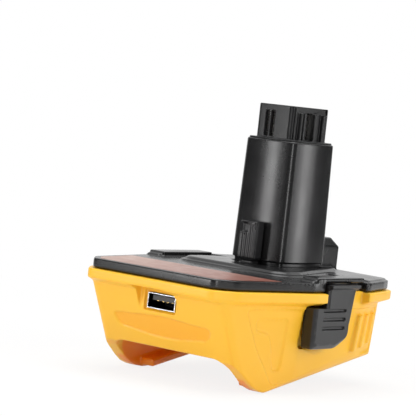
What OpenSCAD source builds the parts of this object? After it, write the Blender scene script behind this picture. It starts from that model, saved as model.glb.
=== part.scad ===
// Tool battery adapter: a slide-on battery goes under the housing, the stem goes up into the tool.
// Millimetres, +Z up, front (USB side) at -Y, latches at +X and -X, z = 0 at the feet.

/* [Cover plate] */
// Height of the plate's top face above the feet
plate_z = 41.8; // [41:0.1:48]
// Thickness of the plate
plate_t = 3.5; // [3:0.1:4.5]
// Length of the plate from front to back
plate_l = 109.1; // [106:0.1:118]
// Length of the straight front edge
front_w = 57; // [52:0.5:60]
// Width of the plate behind its front corner cuts
corner_w = 68; // [65:0.5:72]
// Width of the plate beside the latches
plate_w = 82; // [80:0.5:88]
// Width of the plate at its back corners
back_w = 67; // [60:0.5:72]
// Depth of the front corner cuts
corner_cut = 7.1; // [5:0.1:9]
// How far the back edge bows out
back_bow = 3; // [1:0.1:4]
// Height of the raised island round the stem
island_h = 2; // [1:0.1:3]
// Width of the island at its front
island_w = 49.4; // [44:0.1:52]
// Width of the island at its back
island_back_w = 25.8; // [24:0.1:34]
// Height of the bridges over the latches
bridge_h = 1.9; // [1.2:0.1:2.5]
// Width of each bridge
bridge_w = 7.7; // [6:0.1:8.5]
// Length of each bridge
bridge_l = 32.5; // [30:0.1:36]

/* [Stem] */
// Distance of the stem's axis behind the middle
stem_y = 21.8; // [20:0.1:23]
// Width of the stem at its base
stem_w = 24.4; // [23:0.1:26]
// Depth of the stem at its base, front to back
stem_d = 28.8; // [27:0.1:30]
// Height of the stem's shoulder above the plate
stem_h = 50.2; // [44:0.1:56]
// Share of the base size left at the shoulder
stem_taper = 0.945; // [0.93:0.005:1]
// Wall of the stem
stem_wall = 2; // [1.6:0.1:2.4]
// Radius of the stem's corners
stem_r = 3; // [2:0.1:4]
// How far the stem's sides bulge
stem_bulge = 1.6; // [0.4:0.1:2]
// Height of the dark groove under the stem
groove_h = 1.6; // [1:0.1:2.5]
// Depth of that groove
groove_d = 1; // [0.6:0.1:1.2]
// Thickness of the flange that holds the stem under the plate
stem_flange_t = 2.4; // [2:0.1:2.6]
// How far that flange stands out
stem_flange = 4.6; // [4.2:0.1:5]
// Width of the contact head
head_w = 16.2; // [15:0.1:17]
// Depth of the contact head, front to back
head_d = 25; // [24:0.1:25.4]
// Height of the contact head above the shoulder
head_h = 13.6; // [12:0.1:16]
// Wall of the contact head
head_wall = 1.8; // [1.5:0.1:2]
// How far the head's spigot goes down into the stem
spigot_h = 9; // [6:0.1:10]
// Width of the contact windows in the head
window_w = 5.2; // [4.6:0.1:5.6]
// How far the ribs beside the windows stand out
head_rib = 1.4; // [0.8:0.1:2]
// Thickness of the stem contacts
contact_t = 0.8; // [0.5:0.1:1]
// Width of the ribbed key at the stem's front
key_w = 8; // [7:0.1:10]
// Height of the ribbed key above the plate
key_h = 18.4; // [15:0.1:22]
// Depth of the ribbed key
key_d = 5.6; // [4:0.1:6.5]
// Width of the key at the stem's back
fin_w = 19; // [16:0.1:20]
// Length of the key at the stem's back
fin_l = 11.5; // [9:0.1:12.5]
// Height of the key at the stem's back above the plate
fin_h = 13.4; // [11:0.1:16]

/* [Housing] */
// How far the flange stands out past the plate
flange_out = 1.6; // [1.2:0.1:2]
// Height of the flange's edge
flange_h = 3.4; // [3:0.1:4]
// Gap that shows between the plate and the flange
reveal = 0.3; // [0.2:0.05:0.4]
// How far the wall lies inside the plate's edge
wall_inset = 2.3; // [2:0.1:3]
// Thickness of the housing's walls
wall_t = 2.4; // [2:0.1:2.8]
// Inward lean of the side walls per millimetre of depth
side_draft = 0.11; // [0.08:0.01:0.12]
// Inward lean of the back wall per millimetre of depth
back_draft = 0.06; // [0.03:0.01:0.1]
// Width of the front wall
wall_front_w = 63.6; // [60:0.1:64.5]
// Backward lean of the front wall per millimetre of depth
front_rake = 0.485; // [0.45:0.005:0.52]
// Radius of the feet, seen from the side
foot_r = 18; // [15:0.5:20]
// Where the feet touch, behind (+) or in front (-) of the middle
foot_y = -20.5; // [-22:0.5:-19]
// Rise of the lower edge towards the back, in degrees
bay_slope = 10.5; // [9.5:0.1:11.5]
// Width of the battery bay
bay_w = 54; // [50:0.5:55]
// Depth of the battery bay under its deck
bay_depth = 15.4; // [14.6:0.1:15.8]
// Width of the opening between the rails
rail_gap = 41; // [38:0.5:44]
// Height of the rails' upper faces above the lower edge
rail_h = 4.4; // [4:0.1:5]
// Height of the rails' lower faces above the lower edge
rail_low = 1.5; // [1.2:0.1:2]
// Thickness of the deck between the battery and the circuit
deck_t = 2; // [1.6:0.1:2.4]
// Depth of the shallow panels in the walls
panel_depth = 0.7; // [0.4:0.1:0.9]
// Depth of the mark inside each side panel
mark_depth = 0.6; // [0.4:0.1:0.8]
// Width of the finger recess in the front wall
finger_w = 47; // [40:0.5:49]

/* [Latches] */
// Middle of the latches, behind the middle of the part
latch_y = 2.4; // [1:0.1:4]
// Width of each latch
latch_w = 22.7; // [21:0.1:23.5]
// Height of each latch's shoe
latch_h = 15.5; // [14.5:0.1:16]
// How far the latch's face stands out past the plate's side
latch_out = 1.6; // [1:0.1:3]
// How far the latches go in
latch_travel = 3; // [2:0.1:3.4]
// Gap round each latch
latch_gap = 0.4; // [0.3:0.05:0.5]
// Width of the catch at the latch's top
catch_w = 18.6; // [16:0.1:19]
// How far the catch stands out past the latch's face
catch_out = 1.2; // [0.8:0.1:1.6]
// Number of grip grooves on each latch
grip_count = 3; // [2:1:4]
// Length of the grip grooves
grip_l = 14.4; // [12:0.1:16]
// Wire of the latch springs
spring_wire = 0.6; // [0.5:0.05:0.7]
// Outside diameter of the latch springs
spring_d = 5; // [4.5:0.1:5.4]
// Turns of each latch spring
spring_turns = 4; // [3:1:5]
// Length of each latch spring when fitted
spring_l = 7.5; // [7:0.1:8.5]

/* [Circuit] */
// Width of the USB shell
usb_w = 13.1; // [13:0.05:13.3]
// Height of the USB shell
usb_h = 5.7; // [5.6:0.05:5.9]
// Length of the USB shell
usb_l = 14; // [13:0.1:15]
// Sheet of the USB shell
usb_t = 0.3; // [0.25:0.05:0.4]
// Depth of the USB port's middle under the plate's top
usb_drop = 12.5; // [12:0.1:12.8]
// How far the USB port's mouth lies behind the plate's front edge
usb_inset = 7.55; // [7.15:0.05:7.95]
// Width of the recess round the USB port
usb_recess_w = 18.6; // [17:0.1:20]
// Height of the recess round the USB port
usb_recess_h = 9; // [8.6:0.1:9.4]
// Width of the circuit board
board_w = 34; // [32:0.5:35]
// Length of the circuit board
board_l = 37; // [36:0.5:39]
// Thickness of the circuit board
board_t = 1.6; // [1.2:0.1:1.8]
// Diameter of the inductor
coil_d = 11; // [10:0.5:12]
// Height of the inductor
coil_h = 5.8; // [5:0.1:6.2]
// Diameter of the capacitors
capacitor_d = 6.3; // [5:0.1:6.6]
// Height of the capacitors
capacitor_h = 7.5; // [6:0.1:7.8]
// Diameter of the power leads
lead_d = 2.4; // [2:0.1:2.6]
// Diameter of the sense lead
sense_d = 1.6; // [1.4:0.1:1.8]

/* [Battery contacts] */
// Width of the terminal block
block_w = 30; // [28:0.5:34]
// Length of the terminal block
block_l = 13; // [11:0.1:14]
// Height of the terminal block under the deck
block_h = 9; // [8:0.1:10]
// Thickness of the blades
blade_t = 0.8; // [0.6:0.05:1]
// Height of the blades
blade_h = 5; // [4:0.1:6]
// How far the blades stand out of the block
blade_l = 9; // [7:0.1:10]
// Spacing of the blades
blade_pitch = 7; // [6:0.1:8]

/* [Screws] */
// Diameter of the housing screws
screw_d = 3; // [2.5:0.1:3.2]
// Length of the housing screws under their heads
screw_l = 10; // [9:0.5:10.5]
// Diameter of the housing screws' heads
screw_head_d = 5.4; // [5:0.1:5.8]
// Diameter of the small screws
small_d = 2; // [1.8:0.1:2.2]
// Length of the small screws under their heads
small_l = 5; // [4:0.1:5.4]
// Diameter of the small screws' heads
small_head_d = 3.8; // [3.4:0.1:4]

/* [Label] */
// Depth of the label's seat in the plate
label_seat = 0.3; // [0.2:0.05:0.4]
// Margin of the label along the plate's edge
label_margin = 2.4; // [1.5:0.1:4]
// Distance of the label's back edge in front of the middle
label_back = 23.5; // [20:0.1:28]

/* [Hidden] */
$fn = 48;

// Small amounts shared by the fits
thin = 0.01;
over = 1;
fit = 0.15;
snug = 0.05;
edge_r = 0.8;

// Heights that the pieces share
plate_bottom = plate_z - plate_t;
flange_top = plate_bottom - reveal;
wall_top = flange_top - flange_h;
flange_slope = 1.6;
island_top = plate_z + island_h;
stem_foot = island_top + groove_h;
shoulder_z = plate_z + stem_h;
head_top = shoulder_z + head_h;
stem_flange_z = plate_bottom - stem_flange_t;

// Plan of the plate: corners of the right half, front to back, each with its radius
half_l = plate_l / 2;
usb_y = half_l - usb_inset;
usb_z = plate_z - usb_drop;
latch_x = plate_w / 2 + latch_out;
bend_y = latch_y - latch_w / 2 + 0.4;
rear_bend = latch_y + 25;
rear_corner = half_l - 11;
rear_w = plate_w - 9;

function plate_right(front, cut, back, f, c, w, r, b) = [
    [f, front, 3],
    [c, front + cut, 5],
    [w, bend_y, 10],
    [w, rear_bend, 8],
    [r, rear_corner, 8],
    [b, back, 4]
];
function both_sides(right, middle) = concat(
    right,
    [middle],
    [for (i = [len(right) - 1:-1:0]) [-right[i].x, right[i].y, right[i].z]]
);
bow_r = 60;
bow_cut = bow_r / cos(atan(2 * back_bow / back_w)) - bow_r;
plate_outline = both_sides(
    plate_right(-half_l, corner_cut, half_l - back_bow, front_w / 2, corner_w / 2, plate_w / 2, rear_w / 2,
        back_w / 2),
    [0, half_l + bow_cut, bow_r]
);

// Plan of the housing's wall at a height
function wall_outline(z) =
    let (d = wall_top - z, lean = wall_inset + side_draft * d, rear = wall_inset + back_draft * d)
    both_sides(
        [
            [wall_front_w / 2, front_wall_y(z), 3.5],
            [plate_w / 2 - lean, bend_y, 10],
            [plate_w / 2 - lean, rear_bend, 8],
            [rear_w / 2 - rear, rear_corner, 8],
            [back_w / 2 - rear, half_l - back_bow - rear, 4]
        ],
        [0, half_l + bow_cut - rear, bow_r]
    );
function wall_x(z) = plate_w / 2 - wall_inset - side_draft * (wall_top - z);
function front_wall_y(z) = -half_l + wall_inset + front_rake * (wall_top - z);

// Grows an outline of [x, y, radius] corners, drawn anticlockwise, by the same amount on every side
function unit(v) = v / norm(v);
function flat(p) = [p.x, p.y];
function side_normal(a, b) = let (d = unit(flat(b) - flat(a))) [d.y, -d.x];
function grown(pts, by) = [
    for (i = [0:len(pts) - 1])
        let (n = len(pts), p = pts[i], u = side_normal(pts[(i + n - 1) % n], p), v = side_normal(p, pts[(i + 1) % n]))
        let (q = flat(p) + by * (u + v) / (1 + u * v))
        [q.x, q.y, max(p.z + by, 0.2)]
];

// Rounds the corners of an outline with arcs, each limited by the sides it joins
arc_steps = 4;
function corner_arc(a, p, b) =
    let (u = unit(flat(a) - flat(p)), v = unit(flat(b) - flat(p)), half = acos(max(-1, min(1, u * v))) / 2)
    let (reach = min(p.z / tan(half), 0.48 * norm(flat(a) - flat(p)), 0.48 * norm(flat(b) - flat(p))))
    let (r = reach * tan(half), centre = flat(p) + unit(u + v) * r / sin(half))
    let (from = flat(p) + u * reach - centre, to = flat(p) + v * reach - centre)
    let (start = atan2(from.y, from.x), turn = atan2(to.y, to.x) - start)
    let (sweep = turn > 180 ? turn - 360 : turn < -180 ? turn + 360 : turn)
    [for (i = [0:arc_steps]) centre + r * [cos(start + sweep * i / arc_steps), sin(start + sweep * i / arc_steps)]];
function rounded(pts) = [
    for (i = [0:len(pts) - 1])
        let (n = len(pts))
        each (pts[i].z <= 0 ? [flat(pts[i])] : corner_arc(pts[(i + n - 1) % n], pts[i], pts[(i + 1) % n]))
];
function rectangle(w, d, r) = [[w / 2, -d / 2, r], [w / 2, d / 2, r], [-w / 2, d / 2, r], [-w / 2, -d / 2, r]];

module slab(outline, bottom, height) {
    translate([0, 0, bottom])
        linear_extrude(height)
            polygon(rounded(outline));
}
// A prism along X from an outline in Y and Z
module along_x(outline, from, to) {
    translate([from, 0, 0])
        rotate([90, 0, 90])
            linear_extrude(to - from)
                polygon(rounded(outline));
}
// A prism along Y from an outline in X and Z
module along_y(outline, from, to) {
    translate([0, to, 0])
        rotate([90, 0, 0])
            linear_extrude(to - from)
                polygon(rounded(outline));
}
module box(low, high) {
    translate(low)
        cube(high - low);
}
module mirrored() {
    children();
    mirror([1, 0, 0])
        children();
}
// The frame of the battery bay: its z = 0 is the plane of the lower edge
module on_slope() {
    translate([0, foot_y, foot_r])
        rotate([bay_slope, 0, 0])
            translate([0, 0, -foot_r])
                children();
}
function edge_z(y) = foot_r - foot_r * cos(bay_slope) + tan(bay_slope) * (y - foot_y - foot_r * sin(bay_slope));
function deck_z(y) = edge_z(y) + (bay_depth + deck_t) / cos(bay_slope);

// Places of the screws and posts
post_r = screw_head_d / 2 + 1.6;
post_x = bay_w / 2 - post_r - 0.2;
posts = [[post_x, -half_l + 21.55], [post_x, half_l - 14.05]];
seat_t = 3;
screw_tip = plate_z - 1.4;
screw_seat = screw_tip - screw_l;
post_top = screw_seat + seat_t;
board_top = usb_z - usb_h / 2;
board_bottom = board_top - board_t;
board_front = -usb_y + 2.8;
board_back = board_front + board_l;
board_inset = 3;
board_posts = [for (x = [-1, 1], y = [board_front + 12, board_back - board_inset]) [x * (board_w / 2 - board_inset), y]];
stem_screw_at = [
    for (x = [-1, 1], y = [-1, 1])
        [x * (stem_w / 2 + stem_flange / 2), stem_y + y * (stem_d / 2 - 3)]
];

// Latch places: the shoe, the neck, the slider and its retainer, at the right-hand side
latch_bottom = wall_top - flange_slope - latch_gap - latch_h;
latch_top = latch_bottom + latch_h;
latch_front = latch_y - latch_w / 2;
latch_back = latch_y + latch_w / 2;
neck_front = latch_front + 7.4;
neck_back = latch_back + 2.2;
neck_top = plate_z - 0.5;
neck_t = 2.6;
notch_front = neck_front - 0.6;
notch_back = notch_front + 27.5;
pocket_back = neck_back + 1.2 + latch_gap;
guide_t = 2.4;
shoe_back = latch_x - 5.8;
guide_x = shoe_back - latch_travel - latch_gap;
notch_x = latch_x - neck_t - latch_travel - 1.2;
slider_w = 10;
slider_h = 6.4;
slider_z = latch_top - slider_h;
retainer_t = 1.8;
retainer_x = guide_x - guide_t - latch_gap;
retainer_lip = 2;
spring_z = slider_z + slider_h / 2 - 0.6;
spring_wall_x = retainer_x - retainer_t - spring_l;
spring_wall_t = 2;
catch_h = 2.2;
latch_bevel = 0.8;

// Battery contacts, in the frame of the bay
bay_end = half_l - foot_y - 9.05;
block_end = bay_end - snug;
tail_l = 4;
tail_up = 4;
blade_z = bay_depth - block_h / 2 - blade_h / 2 - 0.4;
blade_xs = [-1.5 * blade_pitch, -0.5 * blade_pitch, 0.5 * blade_pitch, 1.5 * blade_pitch];

// Housing

wall_slices = 2;
module wall_body(inset, bottom, top, slices) {
    hull()
        for (i = [0:slices])
            let (z = bottom + (top - bottom) * i / slices)
            slab(grown(wall_outline(min(z, wall_top)), -inset), z, thin);
}

// The housing seen from the side: feet, lower edge and rounded back corner
side_reach = 80;
edge_lean = tan(bay_slope);
edge_start = edge_z(0);
lip_rise = bay_depth / cos(bay_slope);
lip_y = (-half_l + wall_inset + front_rake * (wall_top - edge_start - lip_rise)) / (1 + front_rake * edge_lean);
lip_z = edge_z(lip_y) + lip_rise - 0.3;
foot_rise = 0.78;
module side_profile() {
    tip = (lip_z + foot_rise * lip_y - edge_start) / (edge_lean + foot_rise);
    back = half_l - wall_inset - back_draft * (wall_top - edge_z(half_l));
    along_x([
        [tip, edge_z(tip), foot_r],
        [back, edge_z(back), 7],
        [back + back_draft * side_reach, edge_z(back) + side_reach, 0],
        [-half_l - side_reach, edge_z(back) + side_reach, 0],
        [-half_l - side_reach, lip_z + foot_rise * (lip_y + half_l + side_reach), 0]
    ], -side_reach, side_reach);
}
// The lower edges are rounded along their length
edge_w = 68.4;
edge_round = 6;
module rounded_edges() {
    on_slope()
        along_y([
            [-edge_w / 2, 0, edge_round],
            [edge_w / 2, 0, edge_round],
            [edge_w / 2 + 12, 48, 0],
            [edge_w / 2 + 12, side_reach, 0],
            [-edge_w / 2 - 12, side_reach, 0],
            [-edge_w / 2 - 12, 48, 0]
        ], -side_reach, 1.5 * side_reach);
}

// Outline of the recessed side panel, in Y and Z
panel_rim = 2.8;
panel_back = 9.5;
corner_rake = 0.318;
corner_curve = 0.0119;
corner_depth = 8.65;
module side_panel() {
    front = -half_l + wall_inset + corner_depth + panel_rim;
    top = wall_top - flange_slope - 1.4;
    function ridge(z) = front + corner_rake * (wall_top - z) + corner_curve * (wall_top - z) ^ 2;
    along_x([
        [ridge(top), top, 1.5],
        [ridge(16), 16, 20],
        [ridge(5) + 1, edge_z(ridge(5)) + panel_rim, 4],
        [half_l - panel_back, edge_z(half_l - panel_back) + panel_rim, 3],
        [half_l - panel_back, top, 3]
    ], -side_reach, side_reach);
}
// Outline of the mark: a bar with a leg that narrows downwards
module side_mark() {
    top = wall_top - 6.7;
    along_x([
        [-33.2, top, 1.5],
        [-32, top - 4.6, 1],
        [-25, top - 6, 4],
        [-20.6, top - 19.6, 1.5],
        [-16.4, top - 19.6, 1.5],
        [-16.8, top, 1]
    ], -side_reach, side_reach);
}
module finger_recess() {
    top = wall_top - 11;
    along_y([
        [-finger_w / 2, top - 1, 1.5],
        [-finger_w / 2 + 2, top - 5.8, 5],
        [0, top - 8.4, 60],
        [finger_w / 2 - 2, top - 5.8, 5],
        [finger_w / 2, top - 1, 1.5],
        [0, top + 0.6, 60]
    ], -side_reach, 0);
}

module bay() {
    h = bay_depth;
    on_slope()
        along_y([
            [bay_w / 2 - 0.6, -side_reach, 0],
            [bay_w / 2 - 0.6, rail_low, 0.8],
            [rail_gap / 2, rail_low, 0.8],
            [rail_gap / 2, rail_h, 0.8],
            [bay_w / 2, rail_h, 0.8],
            [bay_w / 2, h, 5],
            [-bay_w / 2, h, 5],
            [-bay_w / 2, rail_h, 0.8],
            [-rail_gap / 2, rail_h, 0.8],
            [-rail_gap / 2, rail_low, 0.8],
            [0.6 - bay_w / 2, rail_low, 0.8],
            [0.6 - bay_w / 2, -side_reach, 0]
        ], -side_reach, bay_end);
}
// Room at the front of the bay where the rails have not begun
rail_start = -5;
module rail_entry() {
    on_slope()
        along_y([
            [bay_w / 2, -foot_r, 0],
            [bay_w / 2, bay_depth / 2, 0],
            [-bay_w / 2, bay_depth / 2, 0],
            [-bay_w / 2, -foot_r, 0]
        ], -side_reach, rail_start);
}

module below_deck() {
    on_slope()
        box([-side_reach, -side_reach, -side_reach], [side_reach, 2 * side_reach, bay_depth + deck_t]);
}

scoop_r = 39;
scoop_depth = 2.4;
module latch_pocket() {
    along_x(grown(shoe_outline, latch_gap), guide_x, side_reach);
    along_x(grown(neck_outline, latch_gap), guide_x, side_reach);
    box([guide_x, notch_front, latch_top - 1], [side_reach, pocket_back, plate_z]);
    box([wall_x(wall_top), notch_front, wall_top - flange_slope], [side_reach, notch_back, plate_z]);
    box([guide_x - guide_t - over, latch_y - slider_w / 2 - latch_gap, slider_z - latch_gap],
        [guide_x + over, latch_y + slider_w / 2 + latch_gap, plate_z]);
    intersection() {
        translate([wall_x(latch_bottom) + scoop_r - scoop_depth, latch_y, latch_bottom + 7.5])
            sphere(r = scoop_r);
        box([0, latch_front - 4, latch_bottom - 9], [side_reach, latch_back + 4, latch_bottom + 2]);
    }
}
// The wall that the latch slides through, and the wall that its spring leans on
module latch_guide() {
    box([guide_x - guide_t, latch_front - 2, deck_z(latch_front) - deck_t], [guide_x, pocket_back + 2, plate_bottom - 1]);
    box([spring_wall_x - spring_wall_t, latch_y - 3.6, deck_z(latch_y - 3.6) - deck_t],
        [spring_wall_x, latch_y + 3.6, spring_z + spring_d / 2 + 0.4]);
    box([guide_x - guide_t, latch_front - 2, deck_z(latch_front) - deck_t],
        [wall_x(latch_bottom) - wall_t / 2, latch_front - latch_gap, plate_bottom - 1]);
    box([guide_x - guide_t, latch_back + latch_gap, deck_z(latch_back) - deck_t],
        [wall_x(latch_bottom) - wall_t / 2, pocket_back + 2, plate_bottom - 1]);
}

// How far the ribs stop above the lower edge and below the flange
rib_low = 6.2;
rib_high = 5.4;
// Place of the first rib behind the latch, and the step to the next
rib_first = 12.8;
rib_step = 7;
module rear_ribs() {
    slant = atan((plate_w - rear_w) / 2 / (rear_corner - rear_bend));
    for (i = [0:2])
        let (y = latch_back + rib_first + rib_step * i, low = edge_z(y) + rib_low)
        let (x = wall_x(low) - max(0, (y - rear_bend) * tan(slant)))
        translate([x, y, low])
            rotate([0, atan(side_draft), slant])
                translate([-1.2, 0, 0])
                    slab(rectangle(4.4, 3, 0.6), 0, wall_top - rib_high - low);
}

usb_pad = 3;
module usb_bezel() {
    low = usb_z - usb_recess_h / 2 - 2;
    back = -usb_y + 2.4;
    along_x([
        [front_wall_y(low) + 1, low, 0], [back, low, 0], [back, flange_top, 0], [front_wall_y(wall_top), flange_top, 0],
        [front_wall_y(wall_top), wall_top, 0]
    ], -usb_recess_w / 2 - usb_pad, usb_recess_w / 2 + usb_pad);
}
module usb_recess() {
    w = usb_recess_w / 2;
    low = usb_z - usb_recess_h / 2;
    top = usb_z + usb_recess_h / 2 + 0.8;
    along_y([[-w, low, 0.6], [w, low, 0.6], [w, top - 2.6, 0.3], [w - 2.6, top, 0.3], [-w, top, 0.4]],
        -side_reach, -usb_y - 1);
    along_y([
        [-usb_w / 2 - 1, low + 0.8, 0.4],
        [usb_w / 2 + 1, low + 0.8, 0.4],
        [usb_w / 2 + 1, top - 1, 0.4],
        [-usb_w / 2 - 1, top - 1, 0.4]
    ], -side_reach, -usb_y + 0.4);
    box([-usb_w / 2 - fit, -side_reach, usb_z - usb_h / 2 - fit], [usb_w / 2 + fit, -usb_y + 8, usb_z + usb_h / 2 + fit]);
}

module housing_posts() {
    mirrored()
        for (p = posts)
            translate([p.x, p.y, deck_z(p.y) - 2 * deck_t])
                cylinder(r = post_r, h = post_top - deck_z(p.y) + 2 * deck_t);
    for (p = board_posts)
        translate([p.x, p.y, deck_z(p.y) - deck_t])
            cylinder(d = small_d + 3, h = board_bottom - deck_z(p.y) + deck_t);
}
module post_holes() {
    mirrored()
        for (p = posts) {
            translate([p.x, p.y, -over])
                cylinder(d = screw_head_d + 0.6, h = screw_seat + over);
            translate([p.x, p.y, 0])
                cylinder(d = screw_d + 0.4, h = plate_z);
        }
    for (p = board_posts)
        translate([p.x, p.y, board_bottom - small_l])
            cylinder(d = small_d + 2 * snug, h = small_l + over);
}

module deck_slots() {
    on_slope()
        for (x = blade_xs)
            box([x - blade_t / 2 - fit, block_end - tail_l - fit - 1, bay_depth - over],
                [x + blade_t / 2 + fit, block_end - 1 + fit, bay_depth + deck_t + over]);
}

module shell() {
    difference() {
        union() {
            intersection() {
                wall_body(0, 0, wall_top, wall_slices);
                side_profile();
                rounded_edges();
            }
            slab(grown(plate_outline, flange_out), wall_top, flange_h);
            hull() {
                slab(grown(plate_outline, flange_out), wall_top, thin);
                slab(wall_outline(wall_top - flange_slope), wall_top - flange_slope, thin);
            }
            slab(grown(plate_outline, -wall_inset), flange_top - thin, reveal + thin);
        }
        difference() {
            union() {
                wall_body(wall_t, deck_t, wall_top, 3);
                slab(grown(wall_outline(wall_top), -wall_t), wall_top - thin, plate_t + flange_h);
            }
            below_deck();
        }
        difference() {
            side_panel();
            wall_body(panel_depth, 0, wall_top, 1);
        }
        difference() {
            side_mark();
            wall_body(panel_depth + mark_depth, 0, wall_top, 1);
        }
        difference() {
            finger_recess();
            wall_body(panel_depth, wall_top - 21, wall_top, 1);
        }
    }
}

module lower_housing() {
    color("goldenrod")
        difference() {
            union() {
                shell();
                mirrored()
                    rear_ribs();
                usb_bezel();
                intersection() {
                    union() {
                        housing_posts();
                        mirrored()
                            latch_guide();
                    }
                    box([-plate_w / 2 + wall_inset, -half_l, 0], [plate_w / 2 - wall_inset, half_l, plate_bottom]);
                }
            }
            bay();
            rail_entry();
            mirrored()
                latch_pocket();
            usb_recess();
            post_holes();
            deck_slots();
        }
}

// Cover

// Plan of the stem at its base, grown or shrunk by an amount
side_blend = 60;
function stem_outline(w, d, bulge, r) =
    let (side = [for (f = [-0.5, 0, 0.5]) [f, bulge * (1 - f * f)]])
    [
        for (s = side) [s[0] * w / 2, -d / 2 - s[1], side_blend],
        [w / 2, -d / 2, r],
        for (s = side) [w / 2 + s[1], s[0] * d / 2, side_blend],
        [w / 2, d / 2, r],
        for (s = side) [-s[0] * w / 2, d / 2 + s[1], side_blend],
        [-w / 2, d / 2, r],
        for (s = side) [-w / 2 - s[1], -s[0] * d / 2, side_blend],
        [-w / 2, -d / 2, r]
    ];
stem_base = stem_outline(stem_w, stem_d, stem_bulge, stem_r);

module at_stem() {
    translate([0, stem_y, 0])
        children();
}

island_outline = [
    [-island_w / 2, bend_y, 6], [island_w / 2, bend_y, 6], [island_w / 2, bend_y + 12, 8],
    [island_back_w / 2, half_l - 9, 5], [-island_back_w / 2, half_l - 9, 5], [-island_w / 2, bend_y + 12, 8]
];
module island() {
    slab(grown(island_outline, 1.6), plate_z - thin, 0.8);
    hull() {
        slab(island_outline, plate_z, 0.7 * island_h);
        slab(grown(island_outline, -1), plate_z, island_h);
    }
}

rear_pad_h = 0.7;
module rear_pad() {
    intersection() {
        slab(grown(plate_outline, -1.2), plate_z - thin, rear_pad_h);
        box([-plate_w, notch_back + 3, plate_z - over], [plate_w, plate_l, plate_z + over]);
    }
}

bridge_front = latch_front - 0.5;
module bridge() {
    x = plate_w / 2 - bridge_w;
    out = plate_w / 2;
    difference() {
        union() {
            box([x, bridge_front + 2, plate_z - thin], [out, bridge_front + bridge_l, plate_z + bridge_h]);
            box([x + 1, bridge_front, plate_z - thin], [out - 0.6, bridge_front + 3, plate_z + bridge_h / 2]);
        }
        for (i = [0:1])
            box([out - 0.5, bridge_front + 3.4 + 1.8 * i, plate_z + 0.4],
                [out + over, bridge_front + 4.2 + 1.8 * i, plate_z + bridge_h + over]);
    }
}

key_ribs = 4;
module front_key() {
    front = stem_y - stem_d / 2 - stem_bulge - key_d;
    back = stem_y - stem_d / 2 - stem_bulge - fit;
    rib = key_w / (2 * key_ribs + 1);
    difference() {
        union() {
            slab([
                [-key_w / 2, front, 1], [key_w / 2, front, 1], [key_w / 2, back, 0], [-key_w / 2, back, 0]
            ], stem_foot, plate_z + key_h - stem_foot);
            box([-key_w / 2 + groove_d, front + groove_d, plate_z], [key_w / 2 - groove_d, back, stem_foot + thin]);
        }
        for (i = [0:key_ribs - 1])
            box([-key_w / 2 + rib * (2 * i + 1), front - over, stem_foot],
                [-key_w / 2 + rib * (2 * i + 2), front + 1.2, plate_z + key_h - 1.2]);
        box([-key_w / 2 - over, front - over, plate_z + key_h - 4.4], [0, front + 2, plate_z + key_h - 0.8]);
    }
}

fin_chamfer = 3.4;
module rear_key() {
    front = stem_y + stem_d / 2 + stem_bulge + fit;
    top = plate_z + fin_h;
    intersection() {
        box([-fin_w / 2, front, plate_z], [fin_w / 2, front + fin_l, top]);
        along_y([
            [fin_w / 2, plate_z, 0], [fin_w / 2, top - fin_chamfer, 0], [fin_w / 2 - 2.6, top, 0],
            [-fin_w / 2 + 2.6, top, 0], [-fin_w / 2, top - fin_chamfer, 0], [-fin_w / 2, plate_z, 0]
        ], front, front + fin_l);
        along_x([
            [front, plate_z, 0], [front + fin_l, plate_z, 0], [front + fin_l, top - fin_chamfer, 0],
            [front + fin_l - 2.6, top, 0], [front, top, 0]
        ], -fin_w, fin_w);
    }
}

label_outline = grown(plate_outline, -label_margin);
module label_area(grow, bottom, height) {
    intersection() {
        slab(grown(label_outline, grow), bottom, height);
        box([-plate_w, -plate_l, bottom], [plate_w, -label_back + grow, bottom + height]);
    }
}

lip_h = 2;
lip_t = 1.4;
module cover_lip() {
    difference() {
        slab(grown(wall_outline(wall_top), -wall_t - fit), plate_bottom - lip_h, lip_h);
        slab(grown(wall_outline(wall_top), -wall_t - fit - lip_t), plate_bottom - lip_h - over, lip_h + 2 * over);
        box([-plate_w, latch_front - 4, plate_bottom - lip_h - over], [plate_w, notch_back + 2, plate_bottom]);
        box([-usb_recess_w / 2 - usb_pad - 1, -half_l, plate_bottom - lip_h - over],
            [usb_recess_w / 2 + usb_pad + 1, -usb_y + 4, plate_bottom]);
    }
}

module top_cover() {
    color([0.13, 0.13, 0.14])
        difference() {
            union() {
                slab(plate_outline, plate_bottom, plate_t);
                island();
                rear_pad();
                front_key();
                rear_key();
                cover_lip();
                mirrored() {
                    bridge();
                    for (p = posts)
                        translate([p.x, p.y, post_top])
                            cylinder(d = screw_d + 3.6, h = plate_bottom - post_top + thin);
                }
            }
            mirrored() {
                box([notch_x, notch_front, plate_bottom - over], [side_reach, notch_back, plate_z]);
                for (p = posts)
                    translate([p.x, p.y, 0])
                        cylinder(d = screw_d + 2 * snug, h = screw_tip + snug);
            }
            at_stem()
                slab(grown(stem_base, fit), plate_bottom - over, plate_t + island_h + 2 * over);
            for (p = stem_screw_at)
                translate([p.x, p.y, 0])
                    cylinder(d = small_d + 2 * snug, h = stem_flange_z + small_l + snug);
            label_area(snug, plate_z - label_seat, over);
        }
}

module front_label() {
    color([0.82, 0.69, 0.64])
        label_area(0, plate_z - label_seat, label_seat + 0.05);
}

// Stem and head

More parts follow.
